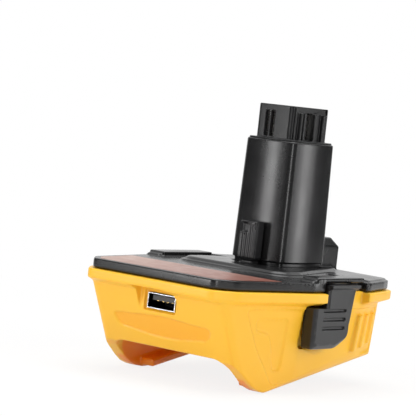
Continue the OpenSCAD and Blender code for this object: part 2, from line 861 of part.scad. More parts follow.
stem_bore = grown(stem_outline(stem_w * stem_taper, stem_d * stem_taper, stem_bulge, stem_r), -stem_wall);
module stem() {
    color([0.2, 0.2, 0.21])
        difference() {
            union() {
                at_stem() {
                    translate([0, 0, stem_foot])
                        linear_extrude(shoulder_z - stem_foot, scale = stem_taper)
                            polygon(rounded(stem_base));
                    slab(grown(stem_base, -groove_d), plate_z, stem_foot - plate_z + thin);
                    slab(stem_base, stem_flange_z, plate_z - stem_flange_z + thin);
                    slab(rectangle(stem_w + 2 * stem_flange, stem_d, 3), stem_flange_z, stem_flange_t);
                }
            }
            at_stem()
                slab(stem_bore, stem_flange_z - over, shoulder_z - stem_flange_z + 2 * over);
            for (p = stem_screw_at)
                translate([p.x, p.y, stem_flange_z - over])
                    cylinder(d = small_d + 2 * snug, h = stem_flange_t + 2 * over);
        }
}

head_r = 1.5;
window_y = -1.4;
front_window_x = -2;
head_ribs = [
    [window_y - window_w / 2 - 3, 1.4], [window_y - window_w / 2 - 0.8, 1.6],
    [window_y + window_w / 2 + 1.3, 2.4], [window_y + window_w / 2 + 7, 2.6]
];
window_low = shoulder_z + 1.2;
window_high = head_top - 2.4;
head_in_x = head_w / 2 - head_wall;
head_in_y = head_d / 2 - head_wall;
module contact_head() {
    color([0.16, 0.16, 0.17])
        at_stem()
            difference() {
                union() {
                    slab(rectangle(head_w, head_d, head_r), shoulder_z, head_h);
                    slab(stem_outline(stem_w * stem_taper - 1, stem_d * stem_taper - 1, stem_bulge, stem_r),
                        shoulder_z, 0.6);
                    intersection() {
                        slab(rectangle(head_w, head_d, head_r), shoulder_z - spigot_h, spigot_h + thin);
                        slab(grown(stem_bore, -fit), shoulder_z - spigot_h, spigot_h + thin);
                    }
                    for (s = [-1, 1], rib = head_ribs)
                        translate([s * head_w / 2, rib[0], shoulder_z])
                            slab(rectangle(2 * head_rib, rib[1], 0.4), 0, head_h - 2.4);
                }
                slab(rectangle(2 * head_in_x, 2 * head_in_y, 0.6), shoulder_z - spigot_h - over,
                    head_h + spigot_h + over - 1.8);
                box([-side_reach, window_y - window_w / 2, window_low], [side_reach, window_y + window_w / 2, window_high]);
                for (s = [-1, 1])
                    translate([front_window_x + s * window_w / 4, 0, 0])
                        box([0.4 - window_w / 4, -side_reach, window_low], [window_w / 4 - 0.4, 0, window_high]);
                for (x = [-1, 1], y = [-1, 1])
                    translate([x * (head_w / 2 - 0.2), y * (head_d / 2 - 2.2), shoulder_z + 0.6])
                        slab(rectangle(1.2, 1.2, 0), 0, head_h);
            }
}

contact_low = shoulder_z - spigot_h - 2;
contact_w = window_w + 1.4;
module side_contact(side) {
    color("silver")
        at_stem()
            translate([0, window_y, 0])
                box([side > 0 ? head_in_x - contact_t : -head_in_x, -contact_w / 2, contact_low],
                    [side > 0 ? head_in_x : contact_t - head_in_x, contact_w / 2, window_high + 0.6]);
}
module stem_contact_positive() {
    side_contact(1);
}
module stem_contact_negative() {
    side_contact(-1);
}
module stem_contact_sense() {
    color("silver")
        at_stem()
            translate([front_window_x, 0, 0])
                box([-contact_w / 2, -head_in_y, contact_low], [contact_w / 2, contact_t - head_in_y, window_high + 0.6]);
}

// Latches

// The latch seen from the side: shoe below, neck above and further back
shoe_round = 7;
shoe_outline = [
    [latch_front, latch_bottom, 1.4], [latch_back - shoe_round, latch_bottom, 9],
    [latch_back, latch_bottom + shoe_round / 2, 3], [latch_back, latch_top, 0.6], [latch_front, latch_top, 0.3]
];
shoe_drop = 1.8;
shoe_face = [
    [latch_front + latch_bevel, latch_bottom + shoe_drop, 2.5],
    [latch_back - latch_bevel - shoe_round, latch_bottom + shoe_drop, 9],
    [latch_back - latch_bevel, latch_bottom + shoe_drop + shoe_round / 2 - latch_bevel, 3],
    [latch_back - latch_bevel, latch_top, 0.3], [latch_front + latch_bevel, latch_top, 0.3]
];
neck_outline = [
    [neck_front, latch_top - 7, 0.3], [latch_back, latch_top - 7, 0.3], [neck_back, plate_bottom, 9],
    [neck_back, neck_top, 0.5], [neck_front, neck_top, 0.5]
];
module latch() {
    face = latch_x - 0.6;
    difference() {
        union() {
            along_x(shoe_outline, shoe_back, face - 0.8);
            hull() {
                along_x(shoe_outline, face - 0.8 - thin, face - 0.8);
                along_x(shoe_face, face - thin, latch_x);
            }
            along_x(neck_outline, face - neck_t, face - 0.2);
            hull() {
                along_x(neck_outline, face - 0.2 - thin, face - 0.2);
                along_x(grown(neck_outline, -latch_bevel), face - thin, latch_x);
            }
            along_y([
                [face - 1, neck_top - catch_h, 0], [face, neck_top - catch_h, 0],
                [latch_x + catch_out, neck_top - 1, 0.3], [latch_x + catch_out, neck_top, 0.2], [face - 1, neck_top, 0]
            ], pocket_back - latch_gap - catch_w, pocket_back - latch_gap);
            box([retainer_x - retainer_t, latch_y - slider_w / 2, slider_z],
                [face - neck_t, latch_y + slider_w / 2, slider_z + slider_h]);
            box([retainer_x - retainer_t, latch_y - slider_w / 2 - retainer_lip, slider_z - 1],
                [retainer_x, latch_y + slider_w / 2 + retainer_lip, slider_z + slider_h + 1]);
        }
        for (i = [0:grip_count - 1])
            translate([0, latch_y + 0.8, latch_top - 0.9 - 3.3 * i])
                along_x(rectangle(grip_l, 1.1, 0.5), latch_x - 0.8, latch_x + over);
        box([shoe_back - over, latch_front + 2, latch_bottom + 2], [face - neck_t, latch_back - 2, slider_z - 1.6]);
    }
}
module latch_right() {
    color([0.17, 0.17, 0.18])
        latch();
}
module latch_left() {
    color([0.17, 0.17, 0.18])
        mirror([1, 0, 0])
            latch();
}

// Tubes swept along points, for the spring and the leads
function ring_frame(points, i) =
    let (a = points[max(i - 1, 0)], b = points[min(i + 1, len(points) - 1)], t = unit(b - a))
    let (side = abs(t.x) > 0.9 ? [0, 1, 0] : [1, 0, 0], u = unit(cross(t, side)))
    [u, cross(t, u)];
module tube(points, r, sides) {
    n = len(points);
    verts = [
        for (i = [0:n - 1])
            let (f = ring_frame(points, i))
            for (k = [0:sides - 1]) points[i] + r * (f[0] * cos(360 * k / sides) + f[1] * sin(360 * k / sides))
    ];
    walls = [
        for (i = [0:n - 2], k = [0:sides - 1])
            let (a = i * sides + k, b = i * sides + (k + 1) % sides)
            each [[a, b + sides, b], [a, a + sides, b + sides]]
    ];
    first = [for (k = [1:sides - 2]) [0, k, k + 1]];
    end = (n - 1) * sides;
    last = [for (k = [1:sides - 2]) [end, end + k + 1, end + k]];
    polyhedron(points = verts, faces = concat(walls, first, last));
}

spring_r = (spring_d - spring_wire) / 2;
spring_rings = 8;
spring_run = spring_l - spring_wire - 2 * snug;
spring_path = [
    for (i = [0:spring_turns * spring_rings])
        let (a = 360 * i / spring_rings, x = i / (spring_turns * spring_rings) * spring_run)
        [spring_wall_x + spring_wire / 2 + snug + x, latch_y + spring_r * cos(a), spring_z + spring_r * sin(a)]
];
spring_pitch_gap = spring_run / spring_turns - spring_wire;
echo(spring_least_gap = spring_pitch_gap);
module latch_spring() {
    color("silver")
        tube_around(spring_path, spring_wire / 2, 6);
}
// A spring's rings face along its turn, with one side of each ring out from the axis
module tube_around(points, r, sides) {
    n = len(points);
    verts = [
        for (i = [0:n - 1])
            let (a = points[max(i - 1, 0)], b = points[min(i + 1, n - 1)], t = unit(b - a))
            let (out = unit([0, points[i].y - latch_y, points[i].z - spring_z]), v = unit(cross(t, out)))
            let (u = cross(v, t))
            for (k = [0:sides - 1]) points[i] + r * (u * cos(360 * k / sides) + v * sin(360 * k / sides))
    ];
    walls = [
        for (i = [0:n - 2], k = [0:sides - 1])
            let (a = i * sides + k, b = i * sides + (k + 1) % sides)
            each [[a, b, b + sides], [a, b + sides, a + sides]]
    ];
    first = [for (k = [1:sides - 2]) [0, k + 1, k]];
    end = (n - 1) * sides;
    last = [for (k = [1:sides - 2]) [end, end + k, end + k + 1]];
    polyhedron(points = verts, faces = concat(walls, first, last));
}
module latch_spring_right() {
    latch_spring();
}
module latch_spring_left() {
    mirror([1, 0, 0])
        latch_spring();
}

// USB port

usb_front = -usb_y - 0.2;
usb_back = usb_front + usb_l;
tongue_w = 11;
tongue_t = 1.8;
tongue_top = usb_z + usb_h / 2 - usb_t - 0.6;
module usb_shell() {
    color("gainsboro")
        difference() {
            box([-usb_w / 2, usb_front, usb_z - usb_h / 2], [usb_w / 2, usb_back, usb_z + usb_h / 2]);
            box([-usb_w / 2 + usb_t, usb_front - over, usb_z - usb_h / 2 + usb_t],
                [usb_w / 2 - usb_t, usb_back + over, usb_z + usb_h / 2 - usb_t]);
        }
}
module usb_insulator() {
    color([0.1, 0.1, 0.11])
        union() {
            box([-usb_w / 2 + usb_t + snug, usb_back - 4, usb_z - usb_h / 2 + usb_t + snug],
                [usb_w / 2 - usb_t - snug, usb_back - 0.4, usb_z + usb_h / 2 - usb_t - snug]);
            box([-tongue_w / 2, usb_front + 1.6, tongue_top - tongue_t], [tongue_w / 2, usb_back - 3.9, tongue_top]);
        }
}
module usb_contacts() {
    color("gold")
        for (x = [-3.5, -1, 1, 3.5])
            box([x - 0.5, usb_front + 2.4, tongue_top - tongue_t - 0.25],
                [x + 0.5, usb_back - 4 - snug, tongue_top - tongue_t]);
}

// Circuit board and what stands on it

module circuit_board() {
    color([0.08, 0.35, 0.18])
        difference() {
            box([-board_w / 2, board_front, board_bottom], [board_w / 2, board_back, board_top]);
            for (p = board_posts)
                translate([p.x, p.y, board_bottom - over])
                    cylinder(d = small_d + 0.3, h = board_t + 2 * over);
        }
}
coil_lip = 1;
coil_waist = 1.1;
module inductor() {
    r = coil_d / 2;
    color([0.25, 0.25, 0.27])
        translate([-board_w / 2 + coil_d / 2 + 3.5, board_front + coil_d + 11.7, board_top])
            rotate_extrude()
                polygon([
                    [0, 0], [r, 0], [r, coil_lip], [r - coil_waist, coil_lip + 0.6],
                    [r - coil_waist, coil_h - coil_lip - 0.6], [r, coil_h - coil_lip], [r, coil_h], [0, coil_h]
                ]);
}
module capacitors() {
    color([0.2, 0.22, 0.35])
        for (i = [0, 1])
            translate([capacitor_d / 2 + 0.25 + i * (capacitor_d + 0.9), board_front + 20.2, board_top])
                cylinder(d = capacitor_d, h = capacitor_h);
}
chip_front = board_front + 26.2;
chip_l = 5;
chip_w = 4;
chip_pitch = 1.2;
module regulator_chip() {
    color([0.12, 0.12, 0.13]) {
        box([1, chip_front, board_top + 0.2], [1 + chip_w, chip_front + chip_l, board_top + 1.6]);
        for (i = [0:3])
            let (y = chip_front + 0.8 + chip_pitch * i)
            box([0, y - 0.2, board_top], [2 + chip_w, y + 0.2, board_top + 0.3]);
    }
}
fuse_size = [6.5, 3, 2.4];
module fuse() {
    color("tan")
        translate([board_w / 2 - fuse_size.x - 2, board_front + 24.6, board_top])
            cube(fuse_size);
}

// Battery contacts

module blade(x, long) {
    reach = long ? blade_l : blade_l - 2;
    on_slope() {
        box([x - blade_t / 2, block_end - block_l - reach, blade_z],
            [x + blade_t / 2, block_end - 1, blade_z + blade_h]);
        box([x - blade_t / 2, block_end - 1 - tail_l, blade_z], [x + blade_t / 2, block_end - 1, bay_depth + deck_t + tail_up]);
    }
}
module terminal_block() {
    color([0.15, 0.15, 0.16])
        on_slope()
            difference() {
                box([-block_w / 2, block_end - block_l, bay_depth - block_h], [block_w / 2, block_end, bay_depth]);
                for (x = blade_xs) {
                    box([x - blade_t / 2 - snug, block_end - block_l - over, blade_z - snug],
                        [x + blade_t / 2 + snug, block_end - 1 + snug, blade_z + blade_h + snug]);
                    box([x - blade_t / 2 - snug, block_end - 1 - tail_l - snug, blade_z - snug],
                        [x + blade_t / 2 + snug, block_end - 1 + snug, bay_depth + over]);
                }
            }
}
module battery_blade_positive() {
    color("silver")
        blade(blade_xs[3], true);
}
module battery_blade_negative() {
    color("silver")
        blade(blade_xs[0], true);
}
module battery_data_blades() {
    color("silver")
        for (i = [1, 2])
            blade(blade_xs[i], false);
}

// Leads: points chosen by hand for the right-hand ones, ends taken from what they join

// A point of the bay's frame, in the part's frame
function from_slope(p) =
    let (z = p.z - foot_r)
    [p.x, foot_y + p.y * cos(bay_slope) - z * sin(bay_slope), foot_r + p.y * sin(bay_slope) + z * cos(bay_slope)];
tail_end = from_slope([blade_xs[3] - blade_t / 2 - lead_d / 2 - snug, block_end - 1 - tail_l / 2,
    bay_depth + deck_t + tail_up / 2]);
pad_y = board_back - 3;
lead_pad = [9.6, pad_y - 3, board_top];
battery_route = [
    tail_end + [0, 1, 0.2],
    tail_end + [0, -1, -0.2],
    [tail_end.x, tail_end.y - 5, tail_end.z - 0.6],
    [tail_end.x, 24, 28.6],
    [tail_end.x + 1, 14, 28],
    [tail_end.x + 2, 5, 28.4],
    [lead_pad.x, -2, 29],
    [lead_pad.x, lead_pad.y + 3.4, 29.6],
    [lead_pad.x, lead_pad.y + 0.8, 28.8],
    [lead_pad.x, lead_pad.y, 27.4],
    lead_pad + [0, 0, snug]
];
contact_x = head_in_x - contact_t - lead_d / 2 - snug;
stem_pad = [6.5, pad_y - 1, board_top];
stem_route = [
    stem_pad + [0, 0, snug],
    stem_pad + [0, 0, 1.6],
    [stem_pad.x, stem_pad.y + 0.8, 30.2],
    [stem_pad.x, stem_pad.y + 4, 31.6],
    [stem_pad.x, 2, 32.2],
    [stem_pad.x, 10, 32.6],
    [stem_pad.x - 0.4, 15.5, 33.8],
    [contact_x, 18.8, 37],
    [contact_x, 19.6, 41],
    [contact_x, 20, 50],
    [contact_x, 20.6, 62],
    [contact_x, 21.4, 72],
    [contact_x, stem_y, contact_low + 0.6],
    [contact_x, stem_y, contact_low + 5]
];
sense_y = stem_y - head_in_y + contact_t + sense_d / 2 + snug;
sense_route = [
    [0, pad_y, board_top + snug],
    [0, pad_y, board_top + 1.4],
    [0, pad_y + 0.8, 29.4],
    [0, pad_y + 4, 31],
    [0, 2, 31.8],
    [0, 8, 32.8],
    [0, 11.4, 34.8],
    [0, sense_y, 38.5],
    [0, sense_y, 50],
    [0, sense_y, 62],
    [0, sense_y, 72],
    [0, sense_y, contact_low + 0.6],
    [0, sense_y, contact_low + 5]
];
lead_sides = 8;
module battery_lead_positive() {
    color("crimson")
        tube(battery_route, lead_d / 2, lead_sides);
}
module battery_lead_negative() {
    color([0.1, 0.1, 0.1])
        mirror([1, 0, 0])
            tube(battery_route, lead_d / 2, lead_sides);
}
module stem_lead_positive() {
    color("crimson")
        tube(stem_route, lead_d / 2, lead_sides);
}
module stem_lead_negative() {
    color([0.1, 0.1, 0.1])
        mirror([1, 0, 0])
            tube(stem_route, lead_d / 2, lead_sides);
}
module sense_lead() {
    color("steelblue")
        tube(sense_route, sense_d / 2, lead_sides);
}

// Screws

module screw(d, length, head_d, head_h) {
    translate([0, 0, -head_h])
        difference() {
            cylinder(d = head_d, h = head_h);
            for (a = [0, 90])
                rotate([0, 0, a])
                    box([-head_d / 3, -0.35, -over], [head_d / 3, 0.35, head_h / 2]);
        }
    cylinder(d = d, h = length);
}
module housing_screws() {
    color("dimgray")
        mirrored()
            for (p = posts)
                translate([p.x, p.y, screw_seat])
                    screw(screw_d, screw_l, screw_head_d, 2);
}
module board_screws() {
    color("dimgray")
        for (p = board_posts)
            translate([p.x, p.y, board_top])
                rotate([180, 0, 0])
                    screw(small_d, small_l, small_head_d, 1.4);
}
module stem_screws() {
    color("dimgray")
        for (p = stem_screw_at)
            translate([p.x, p.y, stem_flange_z])
                screw(small_d, small_l, small_head_d, 1.4);
}

lower_housing();
top_cover();
stem();
contact_head();
stem_contact_positive();
stem_contact_negative();
stem_contact_sense();
latch_right();
latch_left();
latch_spring_right();
latch_spring_left();
usb_shell();
usb_insulator();
usb_contacts();
circuit_board();
inductor();
capacitors();
regulator_chip();
fuse();
terminal_block();
battery_blade_positive();
battery_blade_negative();
battery_data_blades();
battery_lead_positive();
battery_lead_negative();
stem_lead_positive();
stem_lead_negative();
sense_lead();
housing_screws();
board_screws();
stem_screws();
front_label();
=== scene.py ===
"""Looks of a tool battery adapter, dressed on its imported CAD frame.

The housing and the cover are soft skins, remeshed from their CAD nodes. The
stem, its head and the latches are copies of their nodes with every edge rounded
as far as it has room. The other pieces keep their CAD shape and get a finish.
All lengths are in metres.
"""

import logging
import math
from collections.abc import Callable, Sequence
from dataclasses import dataclass, field, replace
from enum import Enum
from typing import Protocol

import bmesh
import bpy
import numpy as np
from mathutils import Matrix, Vector


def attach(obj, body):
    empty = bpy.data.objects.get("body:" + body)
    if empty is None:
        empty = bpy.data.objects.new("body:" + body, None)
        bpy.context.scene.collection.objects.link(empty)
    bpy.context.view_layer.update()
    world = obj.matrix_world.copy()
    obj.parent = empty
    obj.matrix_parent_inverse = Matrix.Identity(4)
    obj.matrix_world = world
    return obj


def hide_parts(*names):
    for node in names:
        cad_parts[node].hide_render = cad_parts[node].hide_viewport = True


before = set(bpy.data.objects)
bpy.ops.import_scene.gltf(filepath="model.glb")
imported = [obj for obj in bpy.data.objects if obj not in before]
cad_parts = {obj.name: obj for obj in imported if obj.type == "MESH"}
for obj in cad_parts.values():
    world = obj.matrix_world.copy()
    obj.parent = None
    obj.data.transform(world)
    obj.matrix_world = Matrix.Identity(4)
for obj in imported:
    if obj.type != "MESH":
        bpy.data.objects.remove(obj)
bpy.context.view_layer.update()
MM = 0.001
TINY = 1e-12
NEAREST = 1e-9
FARTHEST = 1.0
WHITE = (1.0, 1.0, 1.0, 1.0)
NOISE_ROUGHNESS = 0.55
NOISE_BAND = (0.3, 0.7)
CLOUD_BAND = (0.35, 0.7)
SCUFF_AND_HIGHLIGHT_BAND = (0.46, 0.74)
SOFT_STEP = 0.5 * MM
RIM_SLOT = 1

log = logging.getLogger("adapter")

Colour = tuple[float, float, float]
Triple = tuple[float, float, float]
Range = tuple[float, float]
Socket = bpy.types.NodeSocket
Weights = Callable[[np.ndarray], np.ndarray]


class Body(str, Enum):
    """The rigid bodies that pieces ride on."""

    ADAPTER = "adapter"
    LATCH_RIGHT = "latch_right"
    LATCH_LEFT = "latch_left"


class Slot(str, Enum):
    """Names of the record's material slots; each piece is given one, which nothing reads."""

    HOUSING = "housing_yellow"
    COVER = "cover_black"
    STEM = "stem_black"
    LATCH = "latch_black"


class NodeGraph:
    """A material's node tree while it is being wired."""

    def __init__(self, name: str) -> None:
        """Start an empty material.

        Args:
            name: The material's name.
        """
        self.material = bpy.data.materials.new(name)
        self.material.use_nodes = True
        self.tree = self.material.node_tree
        self.tree.nodes.clear()
        self.output = self.tree.nodes.new("ShaderNodeOutputMaterial")
        self.coords = self.tree.nodes.new("ShaderNodeTexCoord").outputs["Object"]

    def add(self, kind: str, inputs: dict | None = None, **settings: object) -> bpy.types.Node:
        """Add a node.

        Args:
            kind: The node type's identifier.
            inputs: Values or sockets by input name or index.
            **settings: Attributes set on the node.

        Returns:
            The new node.
        """
        node = self.tree.nodes.new(kind)
        for key, value in settings.items():
            setattr(node, key, value)
        for key, value in (inputs or {}).items():
            if isinstance(value, Socket):
                self.tree.links.new(value, node.inputs[key])
            else:
                node.inputs[key].default_value = value
        return node

    def maths(self, operation: str, *values: Socket | float, **settings: object) -> Socket:
        """Calculate with values.

        Args:
            operation: The operation's identifier.
            *values: Sockets or numbers, in the node's order.
            **settings: Further attributes set on the node.

        Returns:
            The result's socket.
        """
        inputs = dict(enumerate(values))
        return self.add("ShaderNodeMath", inputs, operation=operation, **settings).outputs[0]

    def times(self, first: Socket, *others: Socket) -> Socket:
        """Multiply values.

        Args:
            first: The first factor.
            *others: The other factors.

        Returns:
            The product's socket.
        """
        total = first
        for value in others:
            total = self.maths("MULTIPLY", total, value)
        return total

    def noise(self, scale: float, detail: float = 2.0, stretch: Triple = (1.0, 1.0, 1.0)) -> Socket:
        """Add a noise texture on object coordinates.

        Args:
            scale: Cells per metre.
            detail: Octaves.
            stretch: Factors on the three axes before the noise is read.

        Returns:
            The noise value's socket.
        """
        spot = self.add("ShaderNodeMapping", {"Vector": self.coords, "Scale": stretch})
        inputs = {
            "Vector": spot.outputs["Vector"],
            "Scale": scale,
            "Detail": detail,
            "Roughness": NOISE_ROUGHNESS,
        }
        return self.add("ShaderNodeTexNoise", inputs).outputs["Fac"]

    def span(self, value: Socket, source: Range, target: Range = (0.0, 1.0)) -> Socket:
        """Map a value from one range to another, clamped.

        Args:
            value: The socket to map.
            source: The range read.
            target: The range written.

        Returns:
            The mapped value's socket.
        """
        names = ("From Min", "From Max", "To Min", "To Max")
        inputs = {"Value": value} | dict(zip(names, (*source, *target)))
        return self.add("ShaderNodeMapRange", inputs).outputs["Result"]

    def above(self, value: Socket, limit: float) -> Socket:
        """Tell softly whether a length is above a limit.

        Args:
            value: The length.
            limit: The limit.

        Returns:
            A socket that goes from 0 to 1 at the limit.
        """
        return self.span(value, (limit - SOFT_STEP, limit + SOFT_STEP))

    def below(self, value: Socket, limit: float) -> Socket:
        """Tell softly whether a length is below a limit.

        Args:
            value: The length.
            limit: The limit.

        Returns:
            A socket that goes from 1 to 0 at the limit.
        """
        return self.span(value, (limit - SOFT_STEP, limit + SOFT_STEP), (1.0, 0.0))

    def mix(self, factor: Socket, first: Colour | Socket, second: Colour | Socket) -> Socket:
        """Mix two colours.

        Args:
            factor: Share of the second colour.
            first: A colour or a colour socket.
            second: A colour or a colour socket.

        Returns:
            The mixed colour's socket.
        """
        # By index, because a mix node has inputs of the same name for each data type.
        node = self.add("ShaderNodeMix", data_type="RGBA")
        self.tree.links.new(factor, node.inputs[0])
        for index, value in ((6, first), (7, second)):
            if isinstance(value, Socket):
                self.tree.links.new(value, node.inputs[index])
            else:
                node.inputs[index].default_value = (*value, 1.0)
        return node.outputs[2]

    def bump(self, height: Socket, strength: float, distance: float) -> Socket:
        """Turn a height into a bumped normal.

        Args:
            height: The height socket.
            strength: The bump's strength.
            distance: The height of one unit.

        Returns:
            The normal socket.
        """
        inputs = {"Height": height, "Strength": strength, "Distance": distance}
        return self.add("ShaderNodeBump", inputs).outputs["Normal"]

    def finish(self, inputs: dict) -> bpy.types.Material:
        """Close the tree with a principled shader.

        Args:
            inputs: The shader's inputs by name.

        Returns:
            The finished material.
        """
        shader = self.add("ShaderNodeBsdfPrincipled", inputs)
        return self.close(shader.outputs["BSDF"])

    def close(self, surface: Socket) -> bpy.types.Material:
        """Close the tree with any shader.

        Args:
            surface: The shader's socket.

        Returns:
            The finished material.
        """
        self.tree.links.new(surface, self.output.inputs["Surface"])
        return self.material


class Finish(Protocol):
    """Anything that can be made into a material."""

    name: str

    def material(self) -> bpy.types.Material:
        """Build the material.

        Returns:
            The node material.
        """


@dataclass(frozen=True)
class SatinPlastic:
    """Moulded plastic: spark-eroded grain, cloudy tone and lighter scuffs; its rim copy lightens
    the edges, partly as wear and partly as painted highlight.
    """

    name: str
    base: Colour
    shade: Colour
    edge: Colour
    roughness: Range = (0.34, 0.46)
    grain: float = 2400.0
    grain_depth: float = 0.012 * MM
    grain_strength: float = 0.12
    cloud_cells: float = 38.0
    scuff_and_highlight_cells: float = 260.0
    gloss_cells: float = 90.0
    wear_and_highlight: float = 0.03
    # share of the edge colour on rims: partly wear, partly painted highlight
    rim_wear_and_highlight: float = 0.5
    ior: float = 1.49
    specular: float = 0.5
    glow: float = 0.0
    glow_reach: Triple = (1.0, 0.45, 0.1)
    glow_depth: float = 1.2 * MM

    def worn_and_highlit_rim(self) -> "SatinPlastic":
        """Find the same plastic lightened on its edges, partly as wear and partly as painted
        highlight.

        Returns:
            The finish of the edges.
        """
        return replace(self, name=f"{self.name}_rim", wear_and_highlight=self.rim_wear_and_highlight)

    def tone(self, g: NodeGraph) -> Socket:
        """Mix the moulding's colour.

        Args:
            g: The material's nodes.

        Returns:
            The colour.
        """
        cloud = g.span(g.noise(self.cloud_cells, detail=3.0), CLOUD_BAND)
        # Patches of the edge colour: small scuffs on faces; on the rim copy, partly wear and partly
        # painted highlight.
        scuff_and_highlight_noise = g.noise(self.scuff_and_highlight_cells, detail=3.0)
        scuff_and_highlight = g.span(scuff_and_highlight_noise, SCUFF_AND_HIGHLIGHT_BAND, (0.0, self.wear_and_highlight))
        return g.mix(scuff_and_highlight, g.mix(cloud, self.base, self.shade), self.edge)

    def material(self) -> bpy.types.Material:
        """Build the plastic.

        Returns:
            The node material.
        """
        g = NodeGraph(self.name)
        inputs = {
            "Base Color": self.tone(g),
            "Roughness": g.span(g.noise(self.gloss_cells), NOISE_BAND, self.roughness),
            "Normal": g.bump(g.noise(self.grain), self.grain_strength, self.grain_depth),
            "IOR": self.ior,
            "Specular IOR Level": self.specular,
        }
        if self.glow > 0.0:
            inputs |= {
                "Subsurface Weight": self.glow,
                "Subsurface Radius": self.glow_reach,
                "Subsurface Scale": self.glow_depth,
            }
        return g.finish(inputs)


@dataclass(frozen=True)
class BayPlastic(SatinPlastic):
    """Moulded plastic with painted shade: deep orange in the battery bay, darker orange in the
    finger recess.

    The front wall leans, so places on it go by y + front_lean * z.
    """

    # painted shade: the deep orange given to the battery bay
    painted_bay_shade: Colour = (1.0, 0.32, 0.01)
    bay_half: float = 30.5 * MM
    bay_top: float = 16.0 * MM
    front_lean: float = 0.485
    front_at: float = -30.5 * MM
    rear_at: float = 42.0 * MM
    # painted shade: the darker orange given to the finger recess
    recess: Colour = (0.97, 0.44, 0.014)
    recess_z: Range = (9.0 * MM, 25.0 * MM)
    recess_start: Range = (-35.25 * MM, -34.85 * MM)
    recess_end: Range = (-33.35 * MM, -32.85 * MM)
    recess_shade_share: float = 0.8

    def tone(self, g: NodeGraph) -> Socket:
        """Mix the moulding's colour, with painted shade in the bay and in the recess.

        Args:
            g: The material's nodes.

        Returns:
            The colour.
        """
        at = g.add("ShaderNodeSeparateXYZ", {0: g.coords}).outputs
        behind = g.maths("MULTIPLY_ADD", at["Z"], self.front_lean, at["Y"])
        between_feet = g.below(g.maths("ABSOLUTE", at["X"]), self.bay_half)
        # where the bay's painted shade goes
        bay = g.times(
            between_feet,
            g.below(at["Z"], self.bay_top),
            g.above(behind, self.front_at),
            g.below(at["Y"], self.rear_at),
        )
        # where the finger recess's painted shade goes
        recess = g.times(
            g.above(at["Z"], self.recess_z[0]),
            g.below(at["Z"], self.recess_z[1]),
            between_feet,
            g.span(behind, self.recess_end, (1.0, 0.0)),
            g.span(behind, self.recess_start, (0.0, self.recess_shade_share)),
        )
        return g.mix(bay, g.mix(recess, super().tone(g), self.recess), self.painted_bay_shade)


@dataclass(frozen=True)
class PlatedMetal:
    """Drawn or stamped metal: brushed streaks, cloudy plating, darker smears."""

    name: str
    base: Colour
    shade: Colour
    roughness: Range = (0.16, 0.34)
    streak: Triple = (40.0, 900.0, 900.0)
    streak_strength: float = 0.25
    streak_depth: float = 0.01 * MM
    cloud_cells: float = 220.0

    def material(self) -> bpy.types.Material:
        """Build the metal.

        Returns:
            The node material.
        """
        g = NodeGraph(self.name)
        brush = g.noise(1.0, detail=3.0, stretch=self.streak)
        cloud = g.span(g.noise(self.cloud_cells, detail=3.0), CLOUD_BAND)
        return g.finish(
            {
                "Base Color": self.painted_inner_shade(g, g.mix(cloud, self.base, self.shade)),
                "Metallic": 1.0,
                "Roughness": g.span(brush, NOISE_BAND, self.roughness),
                "Normal": g.bump(brush, self.streak_strength, self.streak_depth),
            }
        )

    def painted_inner_shade(self, g: NodeGraph, colour: Socket) -> Socket:
        """Paint shade on the colour further inside; plain metal keeps it.

        Args:
            g: The material's nodes.
            colour: The metal's colour.

        Returns:
            The colour.
        """
        return colour


@dataclass(frozen=True)
class ShellMetal(PlatedMetal):
    """Plated sheet, bright at its rim and dark behind it: painted shade inside the port."""

    rim_y: Range = (-46.95 * MM, -46.65 * MM)
    # the painted shade behind the rim
    dark: Colour = (0.02, 0.02, 0.021)

    def painted_inner_shade(self, g: NodeGraph, colour: Socket) -> Socket:
        """Darken the sheet behind its rim with painted shade.

        Args:
            g: The material's nodes.
            colour: The metal's colour.

        Returns:
            The colour.
        """
        depth = g.add("ShaderNodeSeparateXYZ", {0: g.coords}).outputs["Y"]
        return g.mix(g.span(depth, self.rim_y), colour, self.dark)


@dataclass(frozen=True)
class BareFilm:
    """A bare printed film: a warm tone that pales towards -x as a painted reflection, fine speckle.
    """

    name: str
    # the pale end of the fade is a painted reflection
    pale: Colour
    warm: Colour
    reflection_fade_x: Range
    blotch: Range = (-0.18, 0.18)
    blotch_cells: float = 120.0
    speck: Colour = (0.16, 0.09, 0.08)
    speck_band: Range = (0.45, 0.75)
    speck_share: float = 0.22
    speck_cells: float = 1800.0
    roughness: Range = (0.36, 0.52)
    gloss_cells: float = 300.0
    grain: float = 900.0
    grain_strength: float = 0.3
    grain_depth: float = 0.01 * MM

    def material(self) -> bpy.types.Material:
        """Build the film.

        Returns:
            The node material.
        """
        g = NodeGraph(self.name)
        x = g.add("ShaderNodeSeparateXYZ", {"Vector": g.coords}).outputs["X"]
        # share of the warm tone across x; the pale side is a painted reflection
        side = g.span(x, self.reflection_fade_x)
        blotch = g.span(g.noise(self.blotch_cells, detail=4.0), NOISE_BAND, self.blotch)
        tone = g.mix(g.maths("ADD", side, blotch, use_clamp=True), self.pale, self.warm)
        fleck = g.noise(self.speck_cells, detail=1.0)
        speck = g.span(fleck, self.speck_band, (0.0, self.speck_share))
        gloss = g.noise(self.gloss_cells, detail=3.0)
        grain = g.noise(self.grain, detail=3.0)
        return g.finish(
            {
                "Base Color": g.mix(speck, tone, self.speck),
                "Roughness": g.span(gloss, NOISE_BAND, self.roughness),
                "Normal": g.bump(grain, self.grain_strength, self.grain_depth),
            }
        )


